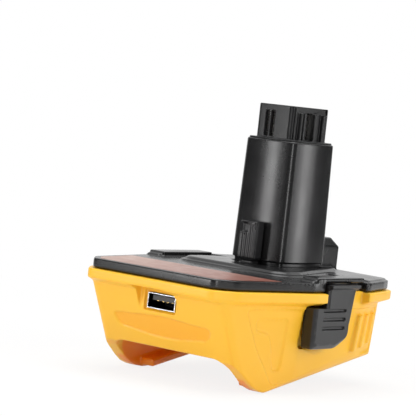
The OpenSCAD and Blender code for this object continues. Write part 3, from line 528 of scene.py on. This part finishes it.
@dataclass(frozen=True)
class BoardLacquer:
    """Solder lacquer with copper tracks showing through it."""

    name: str
    base: Colour
    track: Colour
    track_cells: float = 230.0
    track_width: float = 0.09
    track_gap: float = 1.7
    track_strength: float = 0.3
    track_depth: float = 0.03 * MM
    roughness: Range = (0.24, 0.4)
    gloss_cells: float = 400.0

    def material(self) -> bpy.types.Material:
        """Build the lacquer.

        Returns:
            The node material.
        """
        g = NodeGraph(self.name)
        cells = (self.track_cells,) * 3
        spot = g.add("ShaderNodeMapping", {"Vector": g.coords, "Scale": cells}).outputs["Vector"]
        bricks = {
            "Vector": spot,
            "Scale": 1.0,
            "Mortar Size": self.track_width,
            "Brick Width": self.track_gap,
        }
        track = g.add("ShaderNodeTexBrick", bricks).outputs["Fac"]
        gloss = g.noise(self.gloss_cells, detail=3.0)
        return g.finish(
            {
                "Base Color": g.mix(track, self.base, self.track),
                "Roughness": g.span(gloss, NOISE_BAND, self.roughness),
                "Normal": g.bump(track, self.track_strength, self.track_depth),
            }
        )


def rubber(
    name: str, base: Colour, paler: float = 1.5, lift: float = 0.02, darker: float = 0.8
) -> SatinPlastic:
    """Choose a matt jacket or coating.

    Args:
        name: The material's name.
        base: Its colour.
        paler: Factor on the colour where it is scuffed.
        lift: What is added there.
        darker: Factor on the colour in its clouds.

    Returns:
        The finish.
    """
    pale = tuple(min(1.0, c * paler + lift) for c in base)
    dark = tuple(c * darker for c in base)
    return SatinPlastic(name, base, dark, pale, roughness=(0.48, 0.62), grain=3000.0)


YELLOW = BayPlastic(
    "yellow_plastic",
    base=(0.98, 0.545, 0.03),
    shade=(0.97, 0.52, 0.026),
    edge=(0.98, 0.62, 0.07),
    roughness=(0.36, 0.46),
    glow=0.12,
)
COVER_BLACK = SatinPlastic(
    "cover_plastic",
    base=(0.010, 0.010, 0.0105),
    shade=(0.015, 0.015, 0.0155),
    edge=(0.07, 0.07, 0.072),
    roughness=(0.22, 0.29),
    grain=1900.0,
    grain_depth=0.004 * MM,
)
STEM_BLACK = SatinPlastic(
    "stem_plastic",
    base=(0.011, 0.011, 0.0115),
    shade=(0.016, 0.016, 0.0165),
    edge=(0.06, 0.06, 0.062),
    roughness=(0.22, 0.27),
    grain=2100.0,
    grain_depth=0.003 * MM,
)
HEAD_BLACK = replace(STEM_BLACK, name="head_plastic", roughness=(0.27, 0.33), specular=0.34)
LATCH_BLACK = SatinPlastic(
    "latch_plastic",
    base=(0.010, 0.010, 0.0105),
    shade=(0.015, 0.015, 0.0155),
    edge=(0.08, 0.08, 0.083),
    roughness=(0.28, 0.36),
    grain=2300.0,
    grain_depth=0.004 * MM,
)
TONGUE_BLACK = SatinPlastic(
    "tongue_plastic",
    base=(0.045, 0.045, 0.047),
    shade=(0.06, 0.06, 0.062),
    edge=(0.1, 0.1, 0.1),
    roughness=(0.4, 0.5),
    grain=3200.0,
)
USB_PLATE = ShellMetal("usb_plating", (0.82, 0.83, 0.85), (0.66, 0.67, 0.69), (0.14, 0.28))
GOLD = PlatedMetal("gold_plating", (0.86, 0.62, 0.24), (0.74, 0.5, 0.18), (0.2, 0.32))
BLADE = PlatedMetal("blade_plating", (0.72, 0.71, 0.68), (0.55, 0.54, 0.52), (0.22, 0.38))
WIRE_STEEL = PlatedMetal("spring_wire", (0.56, 0.56, 0.58), (0.42, 0.42, 0.44), (0.2, 0.36))
SCREW = PlatedMetal("screw_plating", (0.46, 0.46, 0.47), (0.3, 0.3, 0.31), (0.26, 0.42))
BOARD = BoardLacquer("board_lacquer", base=(0.02, 0.11, 0.045), track=(0.05, 0.2, 0.07))
LABEL = BareFilm(
    "label_film", pale=(0.46, 0.31, 0.26), warm=(0.2, 0.05, 0.03), reflection_fade_x=(-36 * MM, 42 * MM)
)
RED_JACKET = rubber("red_jacket", (0.35, 0.01, 0.01))
BLACK_JACKET = rubber("black_jacket", (0.012, 0.012, 0.012))
BLUE_JACKET = rubber("blue_jacket", (0.02, 0.06, 0.22))


def evaluated(obj: bpy.types.Object) -> bpy.types.Mesh:
    """Apply an object's modifiers.

    Args:
        obj: The object, whose modifiers are removed.

    Returns:
        The mesh it holds afterwards.
    """
    graph = bpy.context.evaluated_depsgraph_get()
    graph.update()
    mesh = bpy.data.meshes.new_from_object(obj.evaluated_get(graph))
    obj.modifiers.clear()
    old = obj.data
    obj.data = mesh
    bpy.data.meshes.remove(old)
    return mesh


def link(name: str, mesh: bpy.types.Mesh) -> bpy.types.Object:
    """Put a mesh into the scene.

    Args:
        name: The new object's name.
        mesh: Its mesh.

    Returns:
        The new object.
    """
    obj = bpy.data.objects.new(name, mesh)
    bpy.context.scene.collection.objects.link(obj)
    return obj


def points_of(mesh: bpy.types.Mesh) -> np.ndarray:
    """Read a mesh's points.

    Args:
        mesh: The mesh.

    Returns:
        An array of rows x, y, z.
    """
    flat = np.empty(len(mesh.vertices) * 3, np.float32)
    mesh.vertices.foreach_get("co", flat)
    return flat.reshape(-1, 3).astype(float)


@dataclass(frozen=True)
class SkinRecipe:
    """How a moulding's soft skin is made from its CAD node."""

    voxel: float
    passes: int
    faces: int
    follow: float = 0.5
    weld: float = 0.002 * MM


def relax(mesh: bpy.types.Mesh, recipe: SkinRecipe, weights: Weights | None) -> None:
    """Round a mesh's edges by letting each point follow its neighbours.

    Args:
        mesh: The mesh, changed in place.
        recipe: How many times and how far the points move.
        weights: The share of that for each point, 0 to 1, by its place.
    """
    pairs = np.empty(len(mesh.edges) * 2, np.int32)
    mesh.edges.foreach_get("vertices", pairs)
    a, b = pairs.reshape(-1, 2).T
    co = points_of(mesh)
    count = np.bincount(a, minlength=len(co)) + np.bincount(b, minlength=len(co))
    share = recipe.follow * (np.ones(len(co)) if weights is None else weights(co))
    for _ in range(recipe.passes):
        for axis in range(3):
            line = co[:, axis]
            total = np.bincount(a, line[b], len(co)) + np.bincount(b, line[a], len(co))
            co[:, axis] = line + share * (total / np.maximum(count, 1) - line)
    mesh.vertices.foreach_set("co", co.astype(np.float32).ravel())
    mesh.update()


def soft_skin(
    node: str, name: str, recipe: SkinRecipe, weights: Weights | None = None
) -> bpy.types.Object:
    """Make a moulding's skin with rounded edges and corners.

    Args:
        node: The CAD node that the skin stands for.
        name: The new object's name.
        recipe: Sizes of the remesh and of the rounding.
        weights: Where the rounding is lighter.

    Returns:
        The skin.
    """
    skin = link(name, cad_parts[node].data.copy())
    skin.data.materials.clear()
    weld = skin.modifiers.new("weld", "WELD")
    weld.merge_threshold = recipe.weld
    remesh = skin.modifiers.new("remesh", "REMESH")
    remesh.mode = "VOXEL"
    remesh.voxel_size = recipe.voxel
    relax(evaluated(skin), recipe, weights)
    triangles = sum(len(p.vertices) - 2 for p in skin.data.polygons)
    if triangles > recipe.faces:
        thin = skin.modifiers.new("thin", "DECIMATE")
        thin.ratio = recipe.faces / triangles
        evaluated(skin)
    skin.data.shade_smooth()
    return skin


@dataclass(frozen=True)
class EdgeRecipe:
    """How the edges of a moulding are rounded.

    Angles are in degrees. sharp: edges from this angle on are rounded. flat and
    joined: faces that differ less become one, before and after. room: share of
    the free way that a radius may take. tip: radius where an edge ends. crease:
    edges from this angle on stay hard. straight: cosine from which two edges
    run on in one line. narrow: least share of a neighbour's length. growth and
    slack: how much wider an edge may be than the one it runs on from. area:
    how far large faces decide the normals.
    """

    radius: float
    sharp: float = 28.0
    rounds: int = 3
    weld: float = 0.012 * MM
    flat: float = 0.9
    room: float = 0.42
    reach: float = 4.0
    crossings: int = 8
    probes: Triple = (0.08, 0.5, 0.92)
    straight: float = 0.8
    narrow: float = 0.3
    growth: float = 1.6
    slack: float = 0.02 * MM
    evenings: int = 4
    tip: float = 0.03 * MM
    speck: float = 0.004 * MM
    joined: float = 0.5
    crease: float = 34.0
    area: int = 50


class EdgeRounder:
    """A copy of a CAD node whose sharp edges get as much radius as they have room for."""

    def __init__(self, node: str, recipe: EdgeRecipe) -> None:
        """Copy and clean the node's mesh.

        Args:
            node: The CAD node.
            recipe: Sizes of the rounding.
        """
        self.recipe = recipe
        self.build = build = bmesh.new()
        build.from_mesh(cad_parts[node].data)
        bmesh.ops.remove_doubles(build, verts=build.verts, dist=recipe.weld)
        bmesh.ops.dissolve_degenerate(build, dist=recipe.weld, edges=build.edges)
        flat = math.radians(recipe.flat)
        bmesh.ops.dissolve_limit(build, angle_limit=flat, verts=build.verts, edges=build.edges)
        many = [f for f in build.faces if len(f.verts) > 4]
        bmesh.ops.triangulate(build, faces=many, quad_method="BEAUTY", ngon_method="BEAUTY")
        build.normal_update()
        build.edges.index_update()
        build.edges.ensure_lookup_table()
        limit = math.radians(recipe.sharp)
        self.edges = [
            e for e in build.edges if len(e.link_faces) == 2 and e.calc_face_angle(0.0) > limit
        ]
        self.sharp = {e.index for e in self.edges}

    def clear_run(
        self, edge: bmesh.types.BMEdge, face: bmesh.types.BMFace, share: float
    ) -> float:
        """Measure the free way across the faces beside an edge.

        Args:
            edge: The edge that is rounded.
            face: The face to cross first.
            share: Where along the edge the way starts, 0 to 1.

        Returns:
            The distance to the next sharp edge, or a large value.
        """
        reach = self.recipe.reach * self.recipe.radius
        point = edge.verts[0].co.lerp(edge.verts[1].co, share)
        along = (edge.verts[1].co - edge.verts[0].co).normalized()
        ahead = face.normal.cross(along)
        loop = next(item for item in face.loops if item.edge == edge)
        if loop.vert != edge.verts[0]:
            ahead = -ahead
        gone = 0.0
        for _ in range(self.recipe.crossings):
            best, hit = self.way_out(edge, face, point, ahead)
            if hit is None:
                return max(gone, reach)
            gone += best
            if hit.index in self.sharp or gone > reach:
                return gone
            others = [f for f in hit.link_faces if f != face]
            if not others:
                return gone
            point = point + ahead * best
            face, edge = others[0], hit
            ahead = (ahead - face.normal * ahead.dot(face.normal)).normalized()
        return gone

    @staticmethod
    def way_out(
        edge: bmesh.types.BMEdge, face: bmesh.types.BMFace, point: Vector, ahead: Vector
    ) -> tuple[float, bmesh.types.BMEdge | None]:
        """Find where a straight way leaves a face.

        Args:
            edge: The edge that the way came in by.
            face: The face.
            point: Where the way starts.
            ahead: Its direction.

        Returns:
            The distance, and the edge that it leaves by.
        """
        best, hit = FARTHEST, None
        side = face.normal.cross(ahead)
        for item in face.loops:
            if item.edge == edge:
                continue
            a, b = item.vert.co - point, item.link_loop_next.vert.co - point
            da, db = a.dot(side), b.dot(side)
            if (da > 0) == (db > 0) or abs(da - db) < TINY:
                continue
            t = da / (da - db)
            far = a.dot(ahead) * (1 - t) + b.dot(ahead) * t
            if NEAREST < far < best:
                best, hit = far, item.edge
        return best, hit

    def width(self, edge: bmesh.types.BMEdge) -> float:
        """Find how much radius one edge has room for.

        Args:
            edge: The edge.

        Returns:
            Its radius.
        """
        recipe = self.recipe
        width = recipe.radius
        for face in edge.link_faces:
            for share in recipe.probes:
                width = min(width, recipe.room * self.clear_run(edge, face, share))
        for vert in edge.verts:
            out = (edge.other_vert(vert).co - vert.co).normalized()
            for other in vert.link_edges:
                if other == edge:
                    continue
                way = other.other_vert(vert).co - vert.co
                cosine = out.dot(way) / max(way.length, TINY)
                if cosine > -recipe.straight and other.index in self.sharp:
                    sine = math.sqrt(max(0.0, 1 - cosine * cosine))
                    width = min(width, recipe.room * way.length * max(recipe.narrow, sine))
        if any(sum(o.index in self.sharp for o in v.link_edges) == 1 for v in edge.verts):
            width = min(width, recipe.tip)
        return width

    def widths(self) -> dict[int, float]:
        """Find how much radius each sharp edge has room for.

        Returns:
            A radius for each sharp edge's index.
        """
        recipe = self.recipe
        wide = {edge.index: self.width(edge) for edge in self.edges}
        corners = [(edge, vert) for edge in self.edges for vert in edge.verts]
        for _ in range(recipe.evenings):
            for edge, vert in corners:
                out = (edge.other_vert(vert).co - vert.co).normalized()
                for other in vert.link_edges:
                    if other.index not in wide or other == edge:
                        continue
                    way = (other.other_vert(vert).co - vert.co).normalized()
                    if out.dot(way) < -recipe.straight:
                        most = recipe.growth * wide[other.index] + recipe.slack
                        wide[edge.index] = min(wide[edge.index], most)
        return wide

    def mesh(self, name: str) -> bpy.types.Mesh:
        """Write the cleaned mesh with a bevel weight on each sharp edge.

        Args:
            name: The mesh's name.

        Returns:
            The mesh.
        """
        wide = self.widths()
        layer = self.build.edges.layers.float.new("bevel_weight_edge")
        self.build.edges.ensure_lookup_table()
        for index, width in wide.items():
            self.build.edges[index][layer] = width / self.recipe.radius
        mesh = bpy.data.meshes.new(name)
        self.build.to_mesh(mesh)
        self.build.free()
        return mesh


def moulded(node: str, name: str, recipe: EdgeRecipe) -> bpy.types.Object:
    """Make a moulding from its CAD node, with every edge rounded.

    Args:
        node: The CAD node that the moulding stands for.
        name: The new object's name.
        recipe: Sizes of the rounding.

    Returns:
        The moulding.
    """
    piece = link(name, EdgeRounder(node, recipe).mesh(name))
    bevel = piece.modifiers.new("round", "BEVEL")
    bevel.limit_method = "WEIGHT"
    bevel.width = recipe.radius
    bevel.segments = recipe.rounds
    bevel.use_clamp_overlap = False
    bevel.loop_slide = False
    bevel.miter_outer = "MITER_ARC"
    # the rounded edges take the second slot, whose lighter finish is partly painted highlight
    bevel.material = RIM_SLOT
    for _ in range(RIM_SLOT + 1):
        piece.data.materials.append(None)
    clean = bmesh.new()
    clean.from_mesh(evaluated(piece))
    bmesh.ops.dissolve_degenerate(clean, dist=recipe.speck, edges=clean.edges)
    bmesh.ops.recalc_face_normals(clean, faces=clean.faces)
    bmesh.ops.dissolve_limit(
        clean,
        angle_limit=math.radians(recipe.joined),
        verts=clean.verts,
        edges=clean.edges,
        delimit={"MATERIAL"},
    )
    crease = math.radians(recipe.crease)
    for face in clean.faces:
        face.smooth = True
    for edge in clean.edges:
        edge.smooth = len(edge.link_faces) == 2 and edge.calc_face_angle(0.0) < crease
    clean.to_mesh(piece.data)
    clean.free()
    even = piece.modifiers.new("even", "WEIGHTED_NORMAL")
    even.weight = recipe.area
    even.keep_sharp = True
    evaluated(piece)
    return piece


def dress(
    obj: bpy.types.Object, finish: bpy.types.Material, rim: bpy.types.Material | None = None
) -> None:
    """Give an object its material.

    Args:
        obj: The object.
        finish: The material.
        rim: The lighter material of its rounded edges, partly wear and partly painted highlight,
            where it differs.
    """
    if not obj.material_slots:
        obj.data.materials.append(finish)
    for index, place in enumerate(obj.material_slots):
        place.link = "OBJECT"
        place.material = rim if rim is not None and index == RIM_SLOT else finish


def settle(obj: bpy.types.Object, body: Body, slot: Slot, *nodes: str) -> bpy.types.Object:
    """Let a piece ride on its body and stand for its CAD nodes.

    Args:
        obj: The piece.
        body: The body it moves with.
        slot: The record's material slot; not used.
        *nodes: The CAD nodes it stands for.

    Returns:
        The piece.
    """
    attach(obj, body.value)
    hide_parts(*nodes)
    log.info("%s: %d faces", obj.name, len(obj.data.polygons))
    return obj


@dataclass
class Housing:
    """The yellow lower housing: flange, walls, panels, bay and feet."""

    recipe: SkinRecipe = SkinRecipe(voxel=0.36 * MM, passes=4, faces=185000)
    crisp_share: float = 0.35
    usb_half: float = 13 * MM
    usb_y: float = -44 * MM
    usb_z: Range = (23 * MM, 34 * MM)

    def weights(self, co: np.ndarray) -> np.ndarray:
        """Round less around the USB recess.

        Args:
            co: Points.

        Returns:
            A share for each point.
        """
        x, y, z = co.T
        near = (np.abs(x) < self.usb_half) & (y < self.usb_y)
        near &= (z > self.usb_z[0]) & (z < self.usb_z[1])
        return np.where(near, self.crisp_share, 1.0)

    def build(self) -> bpy.types.Object:
        """Make the housing.

        Returns:
            The housing's skin.
        """
        skin = soft_skin("lower_housing", "housing_moulding", self.recipe, self.weights)
        return settle(skin, Body.ADAPTER, Slot.HOUSING, "lower_housing")

    def dress(self, skin: bpy.types.Object) -> None:
        """Colour the housing.

        Args:
            skin: The housing's skin.
        """
        dress(skin, YELLOW.material())


@dataclass
class Cover:
    """The black top cover: plate, island, bridges and keys."""

    recipe: SkinRecipe = SkinRecipe(voxel=0.36 * MM, passes=5, faces=150000)

    def build(self) -> bpy.types.Object:
        """Make the cover.

        Returns:
            The cover's skin.
        """
        skin = soft_skin("top_cover", "cover_moulding", self.recipe)
        return settle(skin, Body.ADAPTER, Slot.COVER, "top_cover")

    def dress(self, skin: bpy.types.Object) -> None:
        """Colour the cover.

        Args:
            skin: The cover's skin.
        """
        dress(skin, COVER_BLACK.material())


@dataclass
class Stem:
    """The stem and the contact head on its shoulder."""

    stem_edges: EdgeRecipe = EdgeRecipe(radius=0.7 * MM)
    head_edges: EdgeRecipe = EdgeRecipe(radius=0.35 * MM)

    def build(self) -> list[bpy.types.Object]:
        """Make the stem and its head.

        Returns:
            The two pieces.
        """
        stem = moulded("stem", "stem_moulding", self.stem_edges)
        settle(stem, Body.ADAPTER, Slot.STEM, "stem")
        head = moulded("contact_head", "head_moulding", self.head_edges)
        settle(head, Body.ADAPTER, Slot.STEM, "contact_head")
        return [stem, head]

    def dress(self, pieces: Sequence[bpy.types.Object]) -> None:
        """Colour the stem and its head.

        Args:
            pieces: The two pieces.
        """
        for piece, finish in zip(pieces, (STEM_BLACK, HEAD_BLACK)):
            # the rims get the lighter copy: partly wear, partly painted highlight
            dress(piece, finish.material(), finish.worn_and_highlit_rim().material())


@dataclass
class Latch:
    """One of the two press latches."""

    node: str
    body: Body
    edges: EdgeRecipe = EdgeRecipe(radius=0.5 * MM)

    def build(self) -> bpy.types.Object:
        """Make the latch.

        Returns:
            The latch.
        """
        piece = moulded(self.node, f"{self.node}_moulding", self.edges)
        return settle(piece, self.body, Slot.LATCH, self.node)

    def dress(
        self, piece: bpy.types.Object, finish: bpy.types.Material, rim: bpy.types.Material
    ) -> None:
        """Colour the latch.

        Args:
            piece: The latch.
            finish: The plastic that both latches share.
            rim: The lighter plastic on its edges, partly wear and partly painted highlight.
        """
        dress(piece, finish, rim)


@dataclass
class Insides:
    """CAD nodes that keep their shape and get a finish by node."""

    finishes: dict[str, Finish] = field(
        default_factory=lambda: {
            "usb_shell": USB_PLATE,
            "usb_insulator": TONGUE_BLACK,
            "usb_contacts": GOLD,
            "front_label": LABEL,
            "stem_contact_positive": BLADE,
            "stem_contact_negative": BLADE,
            "stem_contact_sense": BLADE,
            "latch_spring_right": WIRE_STEEL,
            "latch_spring_left": WIRE_STEEL,
            "circuit_board": BOARD,
            "inductor": rubber("inductor_ferrite", (0.04, 0.04, 0.043)),
            "capacitors": rubber("capacitor_sleeve", (0.015, 0.018, 0.08)),
            "regulator_chip": rubber("chip_epoxy", (0.012, 0.012, 0.013)),
            "fuse": rubber("fuse_ceramic", (0.45, 0.34, 0.15)),
            "terminal_block": STEM_BLACK,
            "battery_blade_positive": BLADE,
            "battery_blade_negative": BLADE,
            "battery_data_blades": BLADE,
            "battery_lead_positive": RED_JACKET,
            "battery_lead_negative": BLACK_JACKET,
            "stem_lead_positive": RED_JACKET,
            "stem_lead_negative": BLACK_JACKET,
            "sense_lead": BLUE_JACKET,
            "housing_screws": SCREW,
            "board_screws": SCREW,
            "stem_screws": SCREW,
        }
    )

    def dress(self) -> None:
        """Give each node its finish."""
        made: dict[str, bpy.types.Material] = {}
        for node, finish in self.finishes.items():
            if finish.name not in made:
                made[finish.name] = finish.material()
            dress(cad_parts[node], made[finish.name])
            log.info("%s: finish %s", node, finish.name)


def seen_rays(tree: bpy.types.NodeTree) -> Socket:
    """Pick out the rays that show a surface, directly or mirrored.

    Args:
        tree: The node tree to add to.

    Returns:
        A socket that is 1 for those rays.
    """
    path = tree.nodes.new("ShaderNodeLightPath")
    total = path.outputs["Is Camera Ray"]
    for name in ("Is Glossy Ray", "Is Transmission Ray"):
        node = tree.nodes.new("ShaderNodeMath")
        node.operation = "MAXIMUM"
        tree.links.new(total, node.inputs[0])
        tree.links.new(path.outputs[name], node.inputs[1])
        total = node.outputs[0]
    return total


@dataclass(frozen=True)
class Strip:
    """A softbox that black plastic mirrors; azimuth in degrees from +X."""

    azimuth: float
    width: float
    power: float


@dataclass
class Studio:
    """Floor, lamps, world and the camera at the photograph's place."""

    target: Triple = (0.0, -25.73 * MM, 64.47 * MM)
    azimuth: float = 38.0
    elevation: float = 3.2
    roll: float = 6.26
    distance: float = 770.88 * MM
    lens: float = 178.8
    sensor: float = 36.0
    clip_start: float = 0.01
    floor_half: float = 3.0
    floor_drop: float = 0.2 * MM
    floor_grey: float = 0.9
    shadow_reach: Range = (0.08, 0.3)
    shadow_share: float = 0.15
    sky: float = 0.35
    strips: tuple[Strip, ...] = (
        Strip(-118.0, 0.10, 0.6),
        Strip(-38.0, 0.09, 0.4),
        Strip(43.0, 0.10, 0.4),
    )
    strip_distance: float = 0.5
    strip_height: float = 0.2
    fills: tuple[float, ...] = (-105.0, 15.0)
    fill_distance: float = 0.9
    fill_z: float = 0.45
    fill_aim_z: float = 0.04
    fill_size: Range = (0.6, 0.6)
    fill_power: float = 3.7
    top_z: float = 1.15
    top_size: Range = (0.9, 0.9)
    top_power: float = 9.0
    card_radius: float = 0.58
    card_height: float = 0.45
    card_span: Range = (-178.0, 84.0)
    card_points: int = 48
    card_grey: float = 0.03

    def camera(self) -> None:
        """Place the camera."""
        a, e, r = (math.radians(v) for v in (self.azimuth, self.elevation, self.roll))
        right = Vector((math.cos(a), math.sin(a), 0.0))
        ahead = Vector((-math.sin(a) * math.cos(e), math.cos(a) * math.cos(e), -math.sin(e)))
        up = right.cross(ahead)
        across = math.cos(r) * right + math.sin(r) * up
        above = -math.sin(r) * right + math.cos(r) * up
        data = bpy.data.cameras.new("camera")
        data.lens = self.lens
        data.sensor_width = self.sensor
        data.sensor_fit = "HORIZONTAL"
        data.clip_start = self.clip_start
        camera = bpy.data.objects.new("camera", data)
        turn = Matrix((across, above, -ahead)).transposed().to_4x4()
        place = Vector(self.target) - self.distance * ahead
        camera.matrix_world = Matrix.Translation(place) @ turn
        bpy.context.scene.collection.objects.link(camera)
        bpy.context.scene.camera = camera

    def world(self) -> None:
        """Light the room evenly and show it white."""
        world = bpy.data.worlds.new("room")
        bpy.context.scene.world = world
        world.use_nodes = True
        tree = world.node_tree
        tree.nodes.clear()
        room = tree.nodes.new("ShaderNodeBackground")
        room.inputs["Color"].default_value = WHITE
        room.inputs["Strength"].default_value = self.sky
        white = tree.nodes.new("ShaderNodeBackground")
        white.inputs["Color"].default_value = WHITE
        mix = tree.nodes.new("ShaderNodeMixShader")
        out = tree.nodes.new("ShaderNodeOutputWorld")
        tree.links.new(seen_rays(tree), mix.inputs[0])
        tree.links.new(room.outputs[0], mix.inputs[1])
        tree.links.new(white.outputs[0], mix.inputs[2])
        tree.links.new(mix.outputs[0], out.inputs["Surface"])

    def floor(self) -> None:
        """Lay a pale floor that shows white and keeps the shadow."""
        build = bmesh.new()
        bmesh.ops.create_grid(build, x_segments=4, y_segments=4, size=self.floor_half)
        mesh = bpy.data.meshes.new("floor")
        build.to_mesh(mesh)
        build.free()
        floor = link("floor", mesh)
        floor.location.z = -self.floor_drop
        g = NodeGraph("floor_paper")
        grey = (self.floor_grey,) * 3 + (1.0,)
        paper = g.add("ShaderNodeBsdfDiffuse", {"Color": grey}).outputs[0]
        white = g.add("ShaderNodeEmission", {"Color": WHITE, "Strength": 1.0}).outputs[0]
        away = g.add("ShaderNodeVectorMath", {0: g.coords}, operation="LENGTH").outputs["Value"]
        share = g.span(away, self.shadow_reach, (1.0 - self.shadow_share, 1.0))
        seen = g.times(seen_rays(g.tree), share)
        mix = g.add("ShaderNodeMixShader", {0: seen, 1: paper, 2: white})
        dress(floor, g.close(mix.outputs[0]))

    def card(self) -> None:
        """Stand a dark card round the set, so black plastic keeps dark reflections."""
        turns = np.radians(np.linspace(*self.card_span, self.card_points))
        ring = np.column_stack([np.cos(turns), np.sin(turns)]) * self.card_radius
        points = [(x, y, z) for z in (0.0, self.card_height) for x, y in ring]
        count = len(ring)
        sides = [(i, i + 1, count + i + 1, count + i) for i in range(count - 1)]
        mesh = bpy.data.meshes.new("card")
        mesh.from_pydata(points, [], sides)
        card = link("card", mesh)
        card.visible_camera = False
        card.visible_diffuse = False
        card.visible_shadow = False
        g = NodeGraph("card_black")
        grey = (self.card_grey,) * 3 + (1.0,)
        felt = g.add("ShaderNodeBsdfDiffuse", {"Color": grey})
        dress(card, g.close(felt.outputs[0]))

    def lamp(
        self, name: str, place: Triple, aim: Triple, size: Range, power: float
    ) -> bpy.types.Object:
        """Add a soft rectangular lamp.

        Args:
            name: The lamp's name.
            place: Where it stands.
            aim: What it points at.
            size: Its width and height.
            power: Its power in watts.

        Returns:
            The lamp.
        """
        data = bpy.data.lights.new(name, "AREA")
        data.shape = "RECTANGLE"
        data.size, data.size_y = size
        data.energy = power
        lamp = bpy.data.objects.new(name, data)
        lamp.location = place
        look = Vector(aim) - Vector(place)
        lamp.rotation_euler = look.to_track_quat("-Z", "Y").to_euler()
        bpy.context.scene.collection.objects.link(lamp)
        return lamp

    def strip(self, strip: Strip) -> None:
        """Stand a softbox beside the part that shows in reflections alone.

        Args:
            strip: The softbox.
        """
        turn = math.radians(strip.azimuth)
        middle = 0.5 * self.strip_height
        far = self.strip_distance
        place = (far * math.cos(turn), far * math.sin(turn), middle)
        size = (strip.width, self.strip_height)
        name = f"strip{strip.azimuth:.0f}"
        lamp = self.lamp(name, place, (0.0, 0.0, middle), size, strip.power)
        lamp.visible_diffuse = False

    def fill(self, azimuth: float) -> None:
        """Hang a broad lamp that lights a side evenly and shows in no reflection.

        Args:
            azimuth: Its direction seen from the part, in degrees from +X.
        """
        turn = math.radians(azimuth)
        far = self.fill_distance
        place = (far * math.cos(turn), far * math.sin(turn), self.fill_z)
        aim = (0.0, 0.0, self.fill_aim_z)
        lamp = self.lamp(f"fill{azimuth:.0f}", place, aim, self.fill_size, self.fill_power)
        lamp.visible_glossy = False

    def build(self) -> None:
        """Set up the whole studio."""
        self.camera()
        self.world()
        self.floor()
        self.card()
        for strip in self.strips:
            self.strip(strip)
        for azimuth in self.fills:
            self.fill(azimuth)
        self.lamp("top", (0.0, 0.0, self.top_z), (0.0, 0.0, 0.0), self.top_size, self.top_power)
        bpy.context.scene.view_settings.view_transform = "Standard"


def main() -> None:
    """Build and dress every sub-assembly, then note the sizes."""
    logging.basicConfig(level=logging.INFO, format="%(name)s %(message)s")
    Studio().build()
    housing = Housing()
    housing.dress(housing.build())
    cover = Cover()
    cover.dress(cover.build())
    stem = Stem()
    stem.dress(stem.build())
    # the latches' rims get the lighter copy: partly wear, partly painted highlight
    latch_finish, latch_rim = LATCH_BLACK.material(), LATCH_BLACK.worn_and_highlit_rim().material()
    for node, body in (("latch_right", Body.LATCH_RIGHT), ("latch_left", Body.LATCH_LEFT)):
        latch = Latch(node, body)
        latch.dress(latch.build(), latch_finish, latch_rim)
    Insides().dress()


if __name__ == "__main__":
    main()
